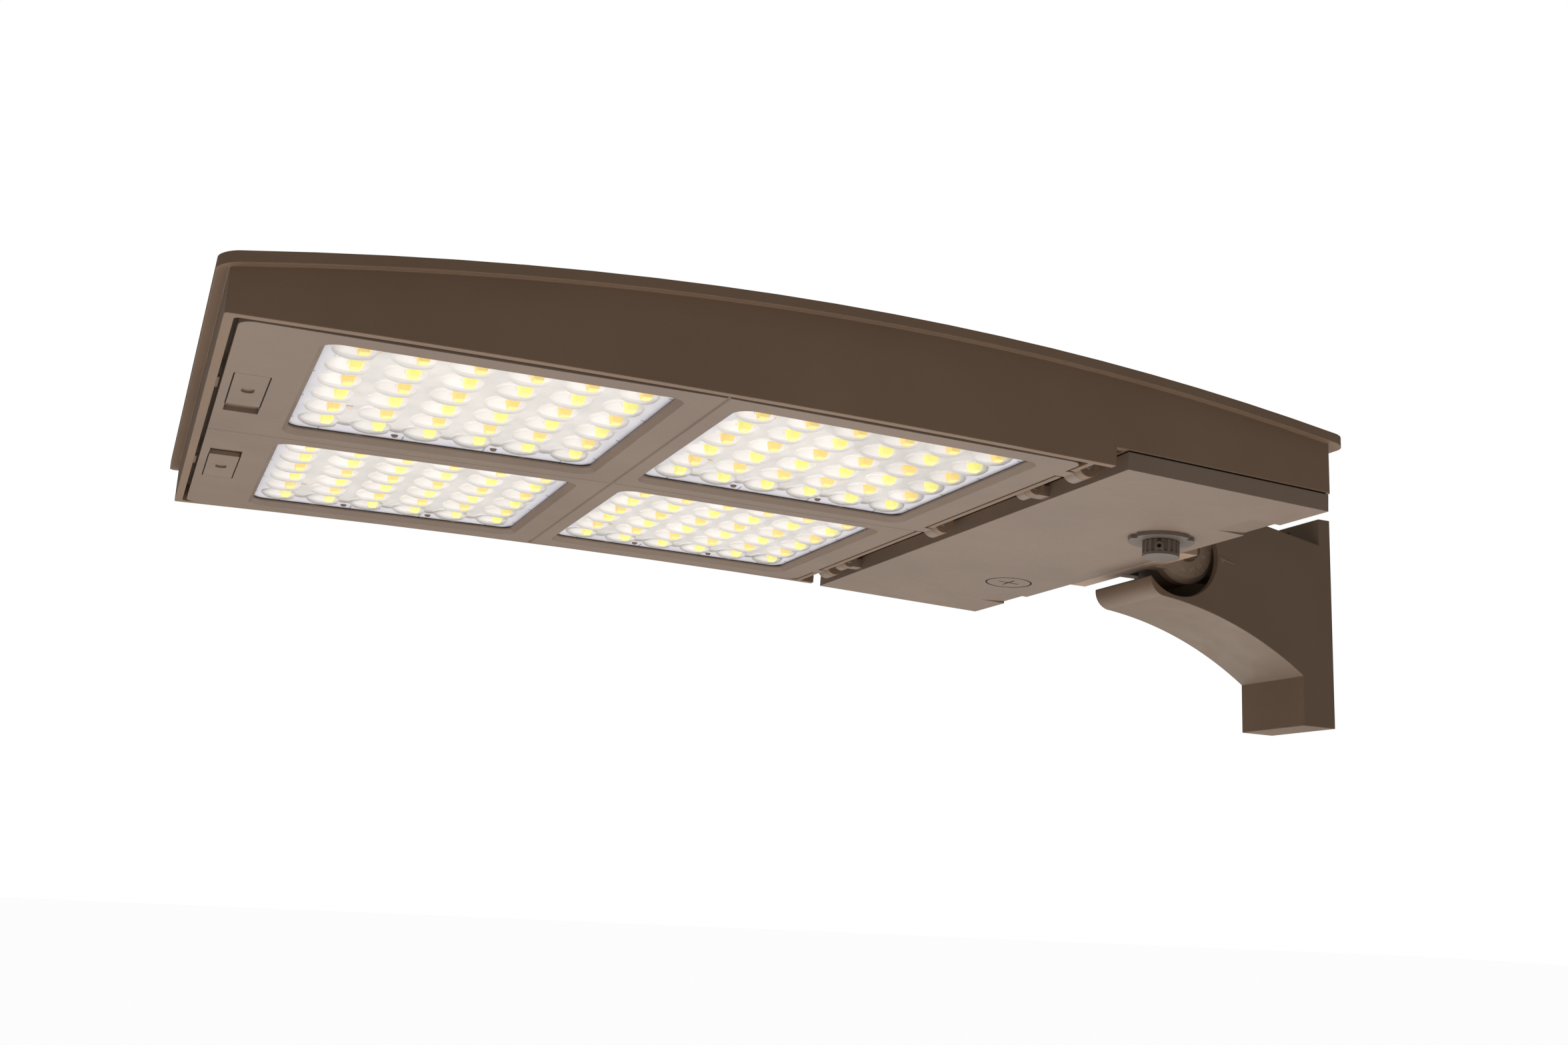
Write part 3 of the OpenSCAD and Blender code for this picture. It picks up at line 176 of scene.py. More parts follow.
def powder_coat(name, colour, roughness, edge_mm=0.7, specular=0.34):
    coat = Finish(name, Specular_IOR_Level=specular)
    thickness = coat.spread(coat.noise(THICKNESS_GRAIN, 3), *SHARPER)
    tone = coat.blend(thickness, shade(colour, THIN_TONE), shade(colour, THICK_TONE))
    specks = coat.spread(coat.noise(SPECK_GRAIN, 1), *SPECK_RANGE, 0, SPECK_SHARE)
    tone = coat.blend(specks, tone, shade(colour, SPECK_TONE))
    patches = coat.spread(coat.noise(WEAR_GRAIN, 4), *SOFTER, LEAST_WEAR, MOST_WEAR)
    worn = coat.node("ShaderNodeMath", {0: coat.edge_share(edge_mm), 1: patches}, operation="MULTIPLY")
    tone = coat.blend(worn.outputs[0], tone, shade(colour, EDGE_TONE, EDGE_LIFT))
    gloss = coat.spread(coat.noise(GLOSS_GRAIN, 3), *SOFTER, roughness - 0.05, roughness + 0.06)
    peel = coat.bump(coat.noise(PEEL_GRAIN, 2, 0.6), PEEL_DEPTH, PEEL_STRENGTH, coat.round_edges(edge_mm))
    coat.drive(Base_Color=tone, Roughness=gloss, Normal=peel)
    return coat.material


casting_coat = powder_coat("casting_powder_coat", (0.185, 0.117, 0.072), 0.50)
# Partly painted sheen: the doors' coat is a little greyer than the casting's, for the pale gloss on their undersides.
door_coat_painted_sheen = powder_coat("door_powder_coat_painted_sheen", (0.186, 0.129, 0.092), 0.46, 0.5, 0.42)
arm_coat = powder_coat("arm_powder_coat", (0.150, 0.098, 0.061), 0.44, 0.9)
# Painted light: the knuckle's coat is the casting's bronze made about 1.8 times lighter, for light on the hub discs.
knuckle_coat_painted_light = powder_coat("knuckle_powder_coat_painted_light", (0.330, 0.225, 0.155), 0.46)
# Painted highlight: the ticks and numerals wear a coat far paler than the discs, for light caught on their raised
# edges.
mark_coat_painted_highlight = powder_coat("mark_powder_coat_painted_highlight", (0.46, 0.34, 0.25), 0.4, 0.15)
bolt_coat = powder_coat("bolt_coat", (0.120, 0.078, 0.050), 0.36, 0.3)
coats = [casting_coat, door_coat_painted_sheen, arm_coat, knuckle_coat_painted_light, mark_coat_painted_highlight, bolt_coat]
print("coats:", [coat.name for coat in coats])

# %% [markdown]
# The other finishes: zinc-plated steel with a fine brushed streak, black rubber, moulded plastics, bare aluminium
# cases, and white solder mask on the boards. Mouldings differ only in colour, gloss and grain, so one function makes
# them all, and a second one makes the two bare metals, whose noise is stretched into streaks.


# %% Metals, rubber and plastics
TONE_GRAIN, SHINE_GRAIN, SMOOTH_EDGE_MM = 18, 6, 0.25
STREAK_SCALE, STREAK_EDGE_MM = 900.0, 0.2


def plain_moulding(name, colour, roughness, grain_mm=1.2, depth_mm=0.01, specular=0.5):
    part = Finish(name, Specular_IOR_Level=specular)
    part.drive(
        Base_Color=part.blend(
            part.spread(part.noise(TONE_GRAIN, 3), *SHARPER), shade(colour, 0.92), shade(colour, 1.06)
        ),
        Roughness=part.spread(part.noise(SHINE_GRAIN, 3), *SOFTER, roughness - 0.04, roughness + 0.05),
        Normal=part.bump(part.noise(grain_mm, 2), depth_mm, 0.5, part.round_edges(SMOOTH_EDGE_MM)),
    )
    return part.material


def bare_metal(name, colour, roughness, streak):
    metal = Finish(name, Metallic=1.0)
    stretch = metal.node("ShaderNodeMapping", {"Vector": metal.place, "Scale": streak}).outputs["Vector"]
    noise = {"Vector": stretch, "Scale": STREAK_SCALE, "Detail": 3.0}
    lines = metal.node("ShaderNodeTexNoise", noise).outputs["Fac"]
    metal.drive(
        Base_Color=metal.blend(metal.spread(lines, *SHARPER), shade(colour, 0.8), shade(colour, 1)),
        Roughness=metal.spread(lines, *SOFTER, roughness - 0.07, roughness + 0.08),
        Normal=metal.bump(lines, 0.01, 0.4, metal.round_edges(STREAK_EDGE_MM)),
    )
    return metal.material


zinc = bare_metal("zinc_plate", (0.62, 0.61, 0.58), 0.34, (0.2, 1, 1))
case_metal = bare_metal("driver_case_metal", (0.70, 0.70, 0.69), 0.42, (0.1, 1, 1))
rubber = plain_moulding("black_rubber", (0.022, 0.022, 0.023), 0.75, 0.8, 0.02, 0.3)
dark_plastic = plain_moulding("dark_plastic", (0.045, 0.045, 0.05), 0.48)
block_plastic = plain_moulding("block_plastic", (0.76, 0.74, 0.66), 0.42)
sensor_plastic = plain_moulding("sensor_plastic", (0.135, 0.104, 0.082), 0.38, 1.0, 0.01, 0.4)
# Painted shade: a near-black finish for thin sheets in the knock-out groove and the latch gaps, where shadow falls.
gap_shade_finish = plain_moulding("painted_shade_in_gaps", (0.018, 0.014, 0.012), 0.8, 1.2, 0.01, 0.1)
solder_mask = plain_moulding("white_solder_mask", (0.74, 0.70, 0.67), 0.42, 3.0, 0.01)
print("plain finishes:", len(bpy.data.materials))

# %% [markdown]
# The CAD nodes keep their meshes, because their shapes are right already, and each gets its finish in the material
# slot. A table of finish and nodes is easier to read and to change than one line for each of the 40.

# %% Finish of the CAD nodes
NODE_FINISH = {
    casting_coat: ["housing"],
    knuckle_coat_painted_light: ["knuckle"],
    arm_coat: ["arm_bracket"],
    bolt_coat: ["tilt_bolt", "tilt_nut"],
    door_coat_painted_sheen: ["optic_door", "driver_door", "latch_near", "latch_far"],
    zinc: ["knuckle_screws", "lens_screws", "optic_pins", "tray_pins", "gear_screws",
           "latch_hook_near", "latch_hook_far", "door_clips", "clip_screws"],
    rubber: ["wire_grommet", "optic_gasket", "driver_gasket"],
    case_metal: ["led_driver_1", "led_driver_2"],
    dark_plastic: ["surge_protector", "receptacle_nut"],
    block_plastic: ["terminal_block"],
    sensor_plastic: ["sensor_receptacle", "sensor_cap"],
    solder_mask: ["led_board_1", "led_board_2", "led_board_3", "led_board_4"],
}
for finish, names in NODE_FINISH.items():
    for name in names:
        mesh = nodes[name].data
        mesh.materials.clear()
        mesh.materials.append(finish)
print("finished nodes:", sum(len(names) for names in NODE_FINISH.values()))

# %% [markdown]
# New pieces are drawn in a bmesh in millimetres, moved to their place in metres, and set down. Setting down turns the
# faces outwards, gives the mesh its finishes and lets it ride on its CAD body. The same pieces could be made by hand
# with the Add menu and edit mode, but here each measure can be read, and four panels cost no more work than one.


# %% Piece helpers
at = Matrix.Translation


def verts_of(geometry):
    return [g for g in geometry if isinstance(g, bmesh.types.BMVert)]


def paint(verts, finish):
    """Gives all faces at these vertices one of the piece's finishes, by number."""
    for face in {f for v in verts for f in v.link_faces}:
        face.material_index = finish


def add_bar(shape, place, size, finish=0):
    """A box of the given size at a place matrix."""
    paint(bmesh.ops.create_cube(shape, size=1, matrix=place @ Matrix.Diagonal(tuple(size) + (1,)))["verts"], finish)


def to_metres(shape, place):
    bmesh.ops.scale(shape, verts=shape.verts, vec=(MM, MM, MM))
    bmesh.ops.transform(shape, matrix=place, verts=shape.verts)
    return shape


def set_down(name, shape, body, finishes, smooth_deg=35):
    bmesh.ops.recalc_face_normals(shape, faces=shape.faces)
    mesh = bpy.data.meshes.new(name)
    shape.to_mesh(mesh)
    shape.free()
    for finish in finishes:
        mesh.materials.append(finish)
    mesh.shade_smooth()
    mesh.set_sharp_from_angle(angle=math.radians(smooth_deg))
    piece = bpy.data.objects.new(name, mesh)
    bpy.context.scene.collection.objects.link(piece)
    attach(piece, body)
    print(name, "faces", len(mesh.polygons))
    return piece


print("piece helpers ready")

# %% [markdown]
# The optic door bends a little at its middle seam, so each half of the boards and lenses leans by a small angle.
# A panel's own frame has its origin at the middle of its window, on the door's outer face, with z into the light.
# Each panel's pieces are drawn level in that frame, and one matrix then sets them in place.

# %% Frames of the four panels
HUB_Z, DOOR_DROP, DOOR_FALL = 32.1, 5.95, 0.62
WINDOW_W, WINDOW_LEN, BAR_HALF, BAR_FRONT, BAR_REAR = 137.0, 141.1, 8.7, 13.0, 8.1
MIDDLE_Y = -410.8
# Side of the light, and half of the door
PANELS = [(1, 0), (1, 1), (-1, 0), (-1, 1)]


def door_half(half):
    """The frame of the front (0) or rear (1) half of the optic door, at the seam and on the door's outer face."""
    lean = math.radians(DOOR_FALL if half == 0 else -DOOR_FALL)
    return at(Vector((0, MIDDLE_Y, HUB_Z - DOOR_DROP)) * MM) @ Matrix.Rotation(lean, 4, "X")


def panel_place(side, half):
    along = -BAR_FRONT - WINDOW_LEN / 2 if half == 0 else BAR_REAR + WINDOW_LEN / 2
    return door_half(half) @ at(Vector((side * (BAR_HALF + WINDOW_W / 2), along, 0)) * MM)


panel_places = [panel_place(*p) for p in PANELS]
print("panel middles", [[round(v, 4) for v in m.translation] for m in panel_places])

# %% [markdown]
# Each lens plate is one clear moulding with 36 optics that lies on its board, with an LED inside each optic. A bubble
# is round towards the nose and cut off at the other end. One optic is a rectangular cell: a flat ring that climbs
# into the bubble. The cell is repeated, the borders are merged, the outer border slopes down over the flange to the
# door, runs on under the window's edge and up to the board, and the back is closed. Cut spheres that are joined by
# booleans would leave walls inside, which clear plastic would show, while merged cells make one clean skin.

# %% Lens sizes
LED_COUNT, PITCH_X, PITCH_Y = 6, 20.6, 22.3
LED_BOARD = 7.95
# Heights over the door's outer face: the flat between the bubbles, the plate's back, the flange at the window's edge
LENS_FRONT, LENS_BACK, FLANGE_FRONT = 4.4, LED_BOARD + 0.03, 3.62
LAP_X, LAP_Y, HIDDEN_EDGE = 4.6, 4.4, 0.3
BUBBLE_R, BUBBLE_H, BUBBLE_SHIFT = 9.1, 2.9, -0.5
# A bubble's rings, how far over it they turn, and how full its side is
BUBBLE_RINGS, BUBBLE_TURN, BUBBLE_FULLNESS = 10, 0.985, 0.92
BUBBLE_CUT, CUT_SLOPE = 7.4, 0.45
# Flat faces beyond these halves of the clear field are flange
CLEAR_HALF = (57.2, 62.4)
# Points round a bubble
RING = 40
NEAR_ZERO, MERGE_DISTANCE = 1e-6, 0.01
SEAMS, SEAM_W, SEAM_H = (-54.9, -18.3, 18.3, 54.9), 0.8, 0.2
# Finishes of a plate by number, after 0 for the clear plastic
FLANGE, SEAM = 1, 2
SPOTS = [(i - (LED_COUNT - 1) / 2) for i in range(LED_COUNT)]
print("bubbles per plate", LED_COUNT**2, "of radius", BUBBLE_R, "mm")


# %% One optic
def cell_border(shape, z):
    """A loop of RING vertices round the rectangle of one cell, four of them at its corners."""
    loop = bmesh.ops.create_circle(shape, segments=RING, radius=1.0)["verts"]
    for v in loop:
        wide, long = abs(v.co.x), abs(v.co.y)
        if abs(wide - long) < 100 * NEAR_ZERO:
            v.co = Vector((math.copysign(PITCH_X / 2, v.co.x), math.copysign(PITCH_Y / 2, v.co.y), z))
        else:
            reach = min(PITCH_X / 2 / max(wide, NEAR_ZERO), PITCH_Y / 2 / max(long, NEAR_ZERO))
            v.co = Vector((v.co.x * reach, v.co.y * reach, z))
    return loop


def loop_edges(loop):
    inside = set(loop)
    return list({e for v in loop for e in v.link_edges if e.other_vert(v) in inside})


def bubble_profile():
    """Rings of a bubble that rises steeply at its foot and is round on top, as radius and height."""
    for i in range(1, BUBBLE_RINGS + 1):
        turn_up = math.radians(90 * i / BUBBLE_RINGS) * BUBBLE_TURN
        yield BUBBLE_R * math.cos(turn_up), BUBBLE_H * math.sin(turn_up) ** BUBBLE_FULLNESS


def add_optic(shape):
    """A cell's sheet: a flat ring from the border to a circle, then rings that follow the profile to a pole."""
    border = cell_border(shape, LENS_FRONT)
    ring = bmesh.ops.create_circle(shape, segments=RING, radius=BUBBLE_R)["verts"]
    bmesh.ops.translate(shape, verts=ring, vec=(0, BUBBLE_SHIFT, LENS_FRONT))
    bmesh.ops.bridge_loops(shape, edges=loop_edges(border) + loop_edges(ring))
    bubble, ring_r = list(ring), BUBBLE_R
    for radius, height in bubble_profile():
        ring = verts_of(bmesh.ops.extrude_edge_only(shape, edges=loop_edges(ring))["geom"])
        for v in ring:
            v.co.x *= radius / ring_r
            v.co.y = BUBBLE_SHIFT + (v.co.y - BUBBLE_SHIFT) * radius / ring_r
            v.co.z = LENS_FRONT - height
        ring_r = radius
        bubble += ring
    bmesh.ops.contextual_create(shape, geom=loop_edges(ring))
    for v in bubble:
        v.co.y = min(v.co.y, BUBBLE_CUT - CUT_SLOPE * (LENS_FRONT - v.co.z))


print("optic helpers ready")


# %% One lens plate
def lens_field(shape):
    """The cell's copies side by side, with merged borders and the outermost flat faces given the flange finish."""
    cell = list(shape.verts) + list(shape.edges) + list(shape.faces)
    for i in SPOTS:
        for j in SPOTS:
            copy = bmesh.ops.duplicate(shape, geom=cell)["geom"]
            bmesh.ops.translate(shape, verts=verts_of(copy), vec=(i * PITCH_X, j * PITCH_Y, 0))
    bmesh.ops.delete(shape, geom=verts_of(cell), context="VERTS")
    bmesh.ops.remove_doubles(shape, verts=shape.verts, dist=MERGE_DISTANCE)
    for face in shape.faces:
        middle = face.calc_center_median()
        flat = all(abs(v.co.z - LENS_FRONT) < NEAR_ZERO for v in face.verts)
        if flat and (abs(middle.x) > CLEAR_HALF[0] or abs(middle.y) > CLEAR_HALF[1]):
            face.material_index = FLANGE


def close_plate(shape):
    """Draws the field's border out to the window's edge and the plate's outline and up to the board, and fills it."""
    at_window = (WINDOW_W + 2 * HIDDEN_EDGE, WINDOW_LEN + 2 * HIDDEN_EDGE)
    at_outline = (WINDOW_W + 2 * LAP_X, WINDOW_LEN + 2 * LAP_Y)
    for z, (width, length) in ((FLANGE_FRONT, at_window), (FLANGE_FRONT, at_outline), (LENS_BACK, at_outline)):
        border = [e for e in shape.edges if e.is_boundary]
        grown = bmesh.ops.extrude_edge_only(shape, edges=border)["geom"]
        outer = verts_of(grown)
        wide, long = max(v.co.x for v in outer), max(v.co.y for v in outer)
        for v in outer:
            v.co = Vector((v.co.x * width / 2 / wide, v.co.y * length / 2 / long, z))
        for face in grown:
            if isinstance(face, bmesh.types.BMFace):
                face.material_index = FLANGE
    bmesh.ops.contextual_create(shape, geom=[e for e in shape.edges if e.is_boundary])


def add_seams(shape):
    """Four thin marks across the sloping flange on each side, where the mould's inserts meet."""
    drop = LENS_FRONT - FLANGE_FRONT
    window, field = (WINDOW_W / 2, WINDOW_LEN / 2), (LED_COUNT * PITCH_X / 2, LED_COUNT * PITCH_Y / 2)
    reach = [w - f for w, f in zip(window, field)]
    middle = [(w + f) / 2 for w, f in zip(window, field)]
    slope = [math.atan2(drop, r) for r in reach]
    for seam in SEAMS:
        for s in (-1, 1):
            place = at((s * middle[0], seam, LENS_FRONT - drop / 2)) @ Matrix.Rotation(s * slope[0], 4, "Y")
            add_bar(shape, place, (reach[0], SEAM_W, SEAM_H), SEAM)
        for s in (-1, 1):
            across = seam * WINDOW_W / WINDOW_LEN
            place = at((across, s * middle[1], LENS_FRONT - drop / 2)) @ Matrix.Rotation(-s * slope[1], 4, "X")
            add_bar(shape, place, (SEAM_W, reach[1], SEAM_H), SEAM)


def lens_shape():
    shape = bmesh.new()
    add_optic(shape)
    lens_field(shape)
    close_plate(shape)
    return shape


test = lens_shape()
print("lens plate faces", len(test.faces), "open edges", sum(e.is_boundary for e in test.edges))
test.free()

# %% [markdown]
# The optics are clear, and a few hundredths of their skin are milky. Lamp light goes through them to the boards. The
# flange is moulded with a fine matt texture over the board's edge, where it looks pale and a little violet. Its grey
# tone is partly painted shade, for the shadow that lies over the flange. A glass shader alone would keep the boards
# dark, because it stops shadow rays, so a transparent one takes its place for them.


# %% Acrylic and its flange
HAZE_GRAIN, RIPPLE_GRAIN, RIPPLE_DEPTH, RIPPLE_STRENGTH = 7, 5, 0.02, 0.3
FLANGE_GRAIN, FLANGE_GLOSS = 2, (0.34, 0.44)


def let_light_through(finish, clear_share):
    """Shadow rays pass, so that the lamps light what stands behind the plastic."""
    through = finish.node("ShaderNodeBsdfTransparent", {"Color": shade((1, 1, 1), clear_share)})
    path = finish.node("ShaderNodeLightPath")
    finish.mix_output(path.outputs["Is Shadow Ray"], through.outputs[0])


def acrylic(name, tint, roughness, clear_share):
    lens = Finish(name, Base_Color=tint + (1,), IOR=1.22, Transmission_Weight=0.93, Specular_IOR_Level=0.3)
    lens.drive(
        Roughness=lens.spread(lens.noise(HAZE_GRAIN, 2), *SOFTER, roughness * 0.7, roughness * 1.3),
        Normal=lens.bump(lens.noise(RIPPLE_GRAIN, 2), RIPPLE_DEPTH, RIPPLE_STRENGTH),
    )
    let_light_through(lens, clear_share)
    return lens.material


def matt_acrylic(name, colour, clear_share):
    flange = Finish(name, Specular_IOR_Level=0.4)
    flange.drive(
        Base_Color=flange.blend(
            flange.spread(flange.noise(TONE_GRAIN, 3), *SHARPER), shade(colour, 0.95), shade(colour, 1.05)
        ),
        Roughness=flange.spread(flange.noise(SHINE_GRAIN, 3), *SOFTER, *FLANGE_GLOSS),
        Normal=flange.bump(flange.noise(FLANGE_GRAIN, 2), 0.01, 0.5),
    )
    let_light_through(flange, clear_share)
    return flange.material


clear_acrylic = acrylic("clear_acrylic", (0.99, 0.985, 0.98), 0.04, 0.97)
# The flange's grey tone is partly painted shade, for the shadow over the flange.
flange_acrylic_painted_shade = matt_acrylic("matt_flange_acrylic_painted_shade", (0.60, 0.58, 0.61), 0.92)
seam_acrylic = plain_moulding("flange_seam", (0.30, 0.29, 0.32), 0.5, 2.0, 0.01)
print("acrylics:", clear_acrylic.name, flange_acrylic_painted_shade.name, seam_acrylic.name)

# %% Four lens plates
for number, place in enumerate(panel_places, 1):
    plate = lens_shape()
    add_seams(plate)
    finishes = [clear_acrylic, flange_acrylic_painted_shade, seam_acrylic]
    lens = set_down(f"lens_optics_{number}", to_metres(plate, place), "light", finishes, 50)
    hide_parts(f"lens_plate_{number}")

# %% [markdown]
# An LED package is a white ceramic square under a cap of silicone that the phosphor colours. The cap hangs down into
# its optic. The rows alternate between a warm and a cool phosphor, from the outer edge inwards. A cone with four sides
# and a bevelled tip has that form with few faces, which counts with 144 of them.


# %% LED packages
LED_BODY_W, LED_BODY_H, LED_SHIFT = 5.4, 0.2, 2.2
CAP_W, CAP_TIP_W, CAP_H, CAP_ROUND = 4.8, 3.6, 3.0, 0.3
CAP_PAINTED_GLOW, CAP_TONE_GRAIN, CAP_SKIN_GRAIN = 0.2, 0.6, 0.3
CERAMIC, WARM, COOL = 0, 1, 2


def phosphor(name, colour):
    cap = Finish(name, Roughness=0.35, Specular_IOR_Level=0.4)
    # Painted glow: the caps give off a little light of their own, which stands in for light scattered in the silicone.
    cap.drive(Emission_Strength=CAP_PAINTED_GLOW, Emission_Color=shade(colour, 1))
    cap.drive(
        Base_Color=cap.blend(
            cap.spread(cap.noise(CAP_TONE_GRAIN, 3), *SOFTER), shade(colour, 0.95), shade(colour, 1.04)
        ),
        Normal=cap.bump(cap.noise(CAP_SKIN_GRAIN, 2), 0.01, 0.4),
    )
    return cap.material


ceramic = plain_moulding("white_ceramic", (0.78, 0.77, 0.75), 0.35, 0.8)
warm_phosphor = phosphor("warm_phosphor", (0.98, 0.70, 0.18))
cool_phosphor = phosphor("cool_phosphor", (0.97, 0.91, 0.22))


def add_led(shape, x, y, cap_finish):
    """A ceramic square on the board with a square, tapering cap that is rounded at its tip."""
    add_bar(shape, at((x, y, LED_BOARD - LED_BODY_H / 2)), (LED_BODY_W, LED_BODY_W, LED_BODY_H), CERAMIC)
    foot = LED_BOARD - LED_BODY_H
    place = at((x, y, foot - CAP_H / 2)) @ Matrix.Rotation(math.pi / 4, 4, "Z")
    corner = math.sqrt(0.5)
    radii = {"radius1": CAP_TIP_W * corner, "radius2": CAP_W * corner}
    cap = bmesh.ops.create_cone(shape, cap_ends=True, segments=4, depth=CAP_H, matrix=place, **radii)["verts"]
    paint(cap, cap_finish)
    tip = {v for v in cap if v.co.z < foot - CAP_H / 2}
    low = list({e for v in tip for e in v.link_edges})
    bmesh.ops.bevel(shape, geom=low, offset=CAP_ROUND, segments=2, profile=0.5, affect="EDGES", material=-1)


for number, place in enumerate(panel_places, 1):
    leds = bmesh.new()
    for i, across in enumerate(SPOTS):
        for along in SPOTS:
            add_led(leds, across * PITCH_X, along * PITCH_Y + LED_SHIFT, WARM if i % 2 else COOL)
    finishes = [ceramic, warm_phosphor, cool_phosphor]
    packages = set_down(f"led_packages_{number}", to_metres(leds, place), "light", finishes)
    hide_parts(f"led_chips_{number}")

# %% [markdown]
# Small parts and marks come last. Each board carries two tan components between its optics, and its lens is held by
# screws with bronze heads in the flange. Both hub discs show a tilt scale of raised ticks and numerals, made of small
# bars, and the arm's near cheek shows the arrow that points to it. Bump in a material could show them too, but real
# relief catches the light at its edges.

# %% Components and screws of the boards
tan_part = plain_moulding("tan_component", (0.78, 0.64, 0.52), 0.5, 1.0)
COMPONENTS, COMPONENT_SIZE = [(-30.9, -46.8), (51.5, -47.5)], (4.2, 2.6, 1.2)
SCREW_X, SCREW_Y, SCREW_R, SCREW_TIP_R, SCREW_H, SCREW_RISE = 61.8, 22.3, 1.75, 1.05, 0.9, 0.4
for number, place in enumerate(panel_places, 1):
    parts = bmesh.new()
    for x, y in COMPONENTS:
        add_bar(parts, at((x, y, LED_BOARD - COMPONENT_SIZE[2] / 2)), COMPONENT_SIZE)
    set_down(f"board_components_{number}", to_metres(parts, place), "light", [tan_part])
    screws = bmesh.new()
    head = {"segments": 24, "radius1": SCREW_TIP_R, "radius2": SCREW_R, "depth": SCREW_H}
    for x in (-SCREW_X, SCREW_X):
        for y in (-SCREW_Y, SCREW_Y):
            bmesh.ops.create_cone(screws, cap_ends=True, matrix=at((x, y, LENS_FRONT - SCREW_RISE)), **head)
    set_down(f"flange_screws_{number}", to_metres(screws, place), "light", [bolt_coat])

# %% Tilt scale
HUB_Y, DISC_X, RELIEF = -89.8, 16.55, 0.3
TICK_R, TICK_W, TICK_STEP_DEG, LAST_TICK_DEG = (13.4, 15.5), 0.35, 15, -120
NUMERAL_R, NUMERAL_W, NUMERAL_H, STROKE, NUMERAL_GAP = 11.2, 1.0, 2.0, 0.3, 0.75
SCALE = {-15: "0", -45: "30", -75: "60", -105: "90"}
# Strokes of a numeral in a box one unit wide and two high: top, middle and foot lie, then the four uprights stand
LYING, STANDING = [(0, 1), (0, 0), (0, -1)], [(-0.5, 0.5), (0.5, 0.5), (-0.5, -0.5), (0.5, -0.5)]
NUMERALS = {"0": (0, 2, 3, 4, 5, 6), "3": (0, 1, 2, 4, 6), "6": (0, 1, 2, 3, 5, 6), "9": (0, 1, 2, 3, 4, 6)}


def disc_point(angle_deg, radius, shift=0.0):
    """A place on a disc's face whose local x runs along the rim and whose local y points outwards."""
    return Matrix.Rotation(math.radians(angle_deg - 90), 4, "Z") @ at((shift, radius, 0))


def face_frame(side):
    """Local x and y lie on the disc's outer face, local z points away from the hub."""
    along, up = Vector((0, side, 0)), Vector((0, 0, 1))
    turn = Matrix((along, up, along.cross(up))).transposed().to_4x4()
    return at(Vector((side * DISC_X, HUB_Y, HUB_Z)) * MM) @ turn


def add_numeral(shape, digit, place):
    for k in NUMERALS[digit]:
        if k < len(LYING):
            x, y = LYING[k]
            size, rise = (NUMERAL_W - STROKE, STROKE, RELIEF), y * NUMERAL_H / 2
        else:
            x, y = STANDING[k - len(LYING)]
            size, rise = (STROKE, (NUMERAL_H + STROKE) / 2, RELIEF), y * (NUMERAL_H + STROKE) / 2
        add_bar(shape, place @ at((x * NUMERAL_W, rise, 0)), size)


def scale_marks(side):
    marks, (low, high) = bmesh.new(), TICK_R
    for angle in range(LAST_TICK_DEG, 1, TICK_STEP_DEG):
        shown = angle if side > 0 else 180 - angle
        add_bar(marks, disc_point(shown, (low + high) / 2), (TICK_W, high - low, RELIEF))
        digits = SCALE.get(angle, "")
        for i, digit in enumerate(digits):
            shift = (i - (len(digits) - 1) / 2) * (NUMERAL_W + NUMERAL_GAP)
            add_numeral(marks, digit, disc_point(shown, NUMERAL_R, shift))
    return marks


for side, name in ((1, "near"), (-1, "far")):
    marks = to_metres(scale_marks(side), face_frame(side))
    set_down(f"tilt_scale_{name}", marks, "light", [mark_coat_painted_highlight])

# %% Arrow on the cheek
ARROW_PLACE, ARROW_LEAN_DEG = (26.0, -70.0, 26.3), -11
SHAFT_X, SHAFT_SIZE = 1.2, (6.6, 0.7, RELIEF)
HEAD_X, HEAD_SHARE, HEAD_SIZE = -3.4, (1.25, 0.9), {"radius1": 2.2, "radius2": 2.0, "depth": RELIEF}
arrow = bmesh.new()
add_bar(arrow, at((SHAFT_X, 0, 0)), SHAFT_SIZE)
head_place = at((HEAD_X, 0, 0)) @ Matrix.Rotation(math.pi, 4, "Z") @ Matrix.Diagonal(HEAD_SHARE + (1, 1))
bmesh.ops.create_cone(arrow, cap_ends=True, segments=3, matrix=head_place, **HEAD_SIZE)
on_cheek = Matrix(((0, 0, 1, 0), (1, 0, 0, 0), (0, 1, 0, 0), (0, 0, 0, 1)))
cheek = at(Vector(ARROW_PLACE) * MM) @ on_cheek @ Matrix.Rotation(math.radians(ARROW_LEAN_DEG), 4, "Z")
set_down("tilt_arrow", to_metres(arrow, cheek), "arm", [door_coat_painted_sheen])

# %% [markdown]
# The driver door has a knock-out: a ring groove with a plus in it. A thin dark sheet in both is painted shade, for the
# shadow that stands there, because soft light from below fills the groove itself. One small rectangle, spun round an
# axis, makes the ring. Thin dark bars along the two sides on which the latches slide are painted shade in the same
# way.

# %% Painted shade in the knock-out
TRAY_FRONT_Y, TRAY_Z, TRAY_FALL = -228.3, 23.5, 1.9
KNOCK_X, KNOCK_Y, KNOCK_R, GROOVE = -72.0, 79.5, 13.3, 0.9
GROOVE_SHADE_MIDDLE, GROOVE_SHADE_H, GROOVE_SHADE_STEPS = 0.16, 0.44, 72
PLUS_SIZE = (12.5, 0.9, 0.12)
painted_groove_shade = bmesh.new()
upright = at((KNOCK_R - GROOVE / 2, 0, GROOVE_SHADE_MIDDLE)) @ Matrix.Rotation(math.pi / 2, 4, "X")
section = upright @ Matrix.Diagonal((GROOVE, GROOVE_SHADE_H, 1, 1))
profile = bmesh.ops.create_grid(painted_groove_shade, x_segments=1, y_segments=1, size=0.5, matrix=section)["verts"]
edges = list({e for v in profile for e in v.link_edges})
bmesh.ops.delete(painted_groove_shade, geom=list(painted_groove_shade.faces), context="FACES_ONLY")
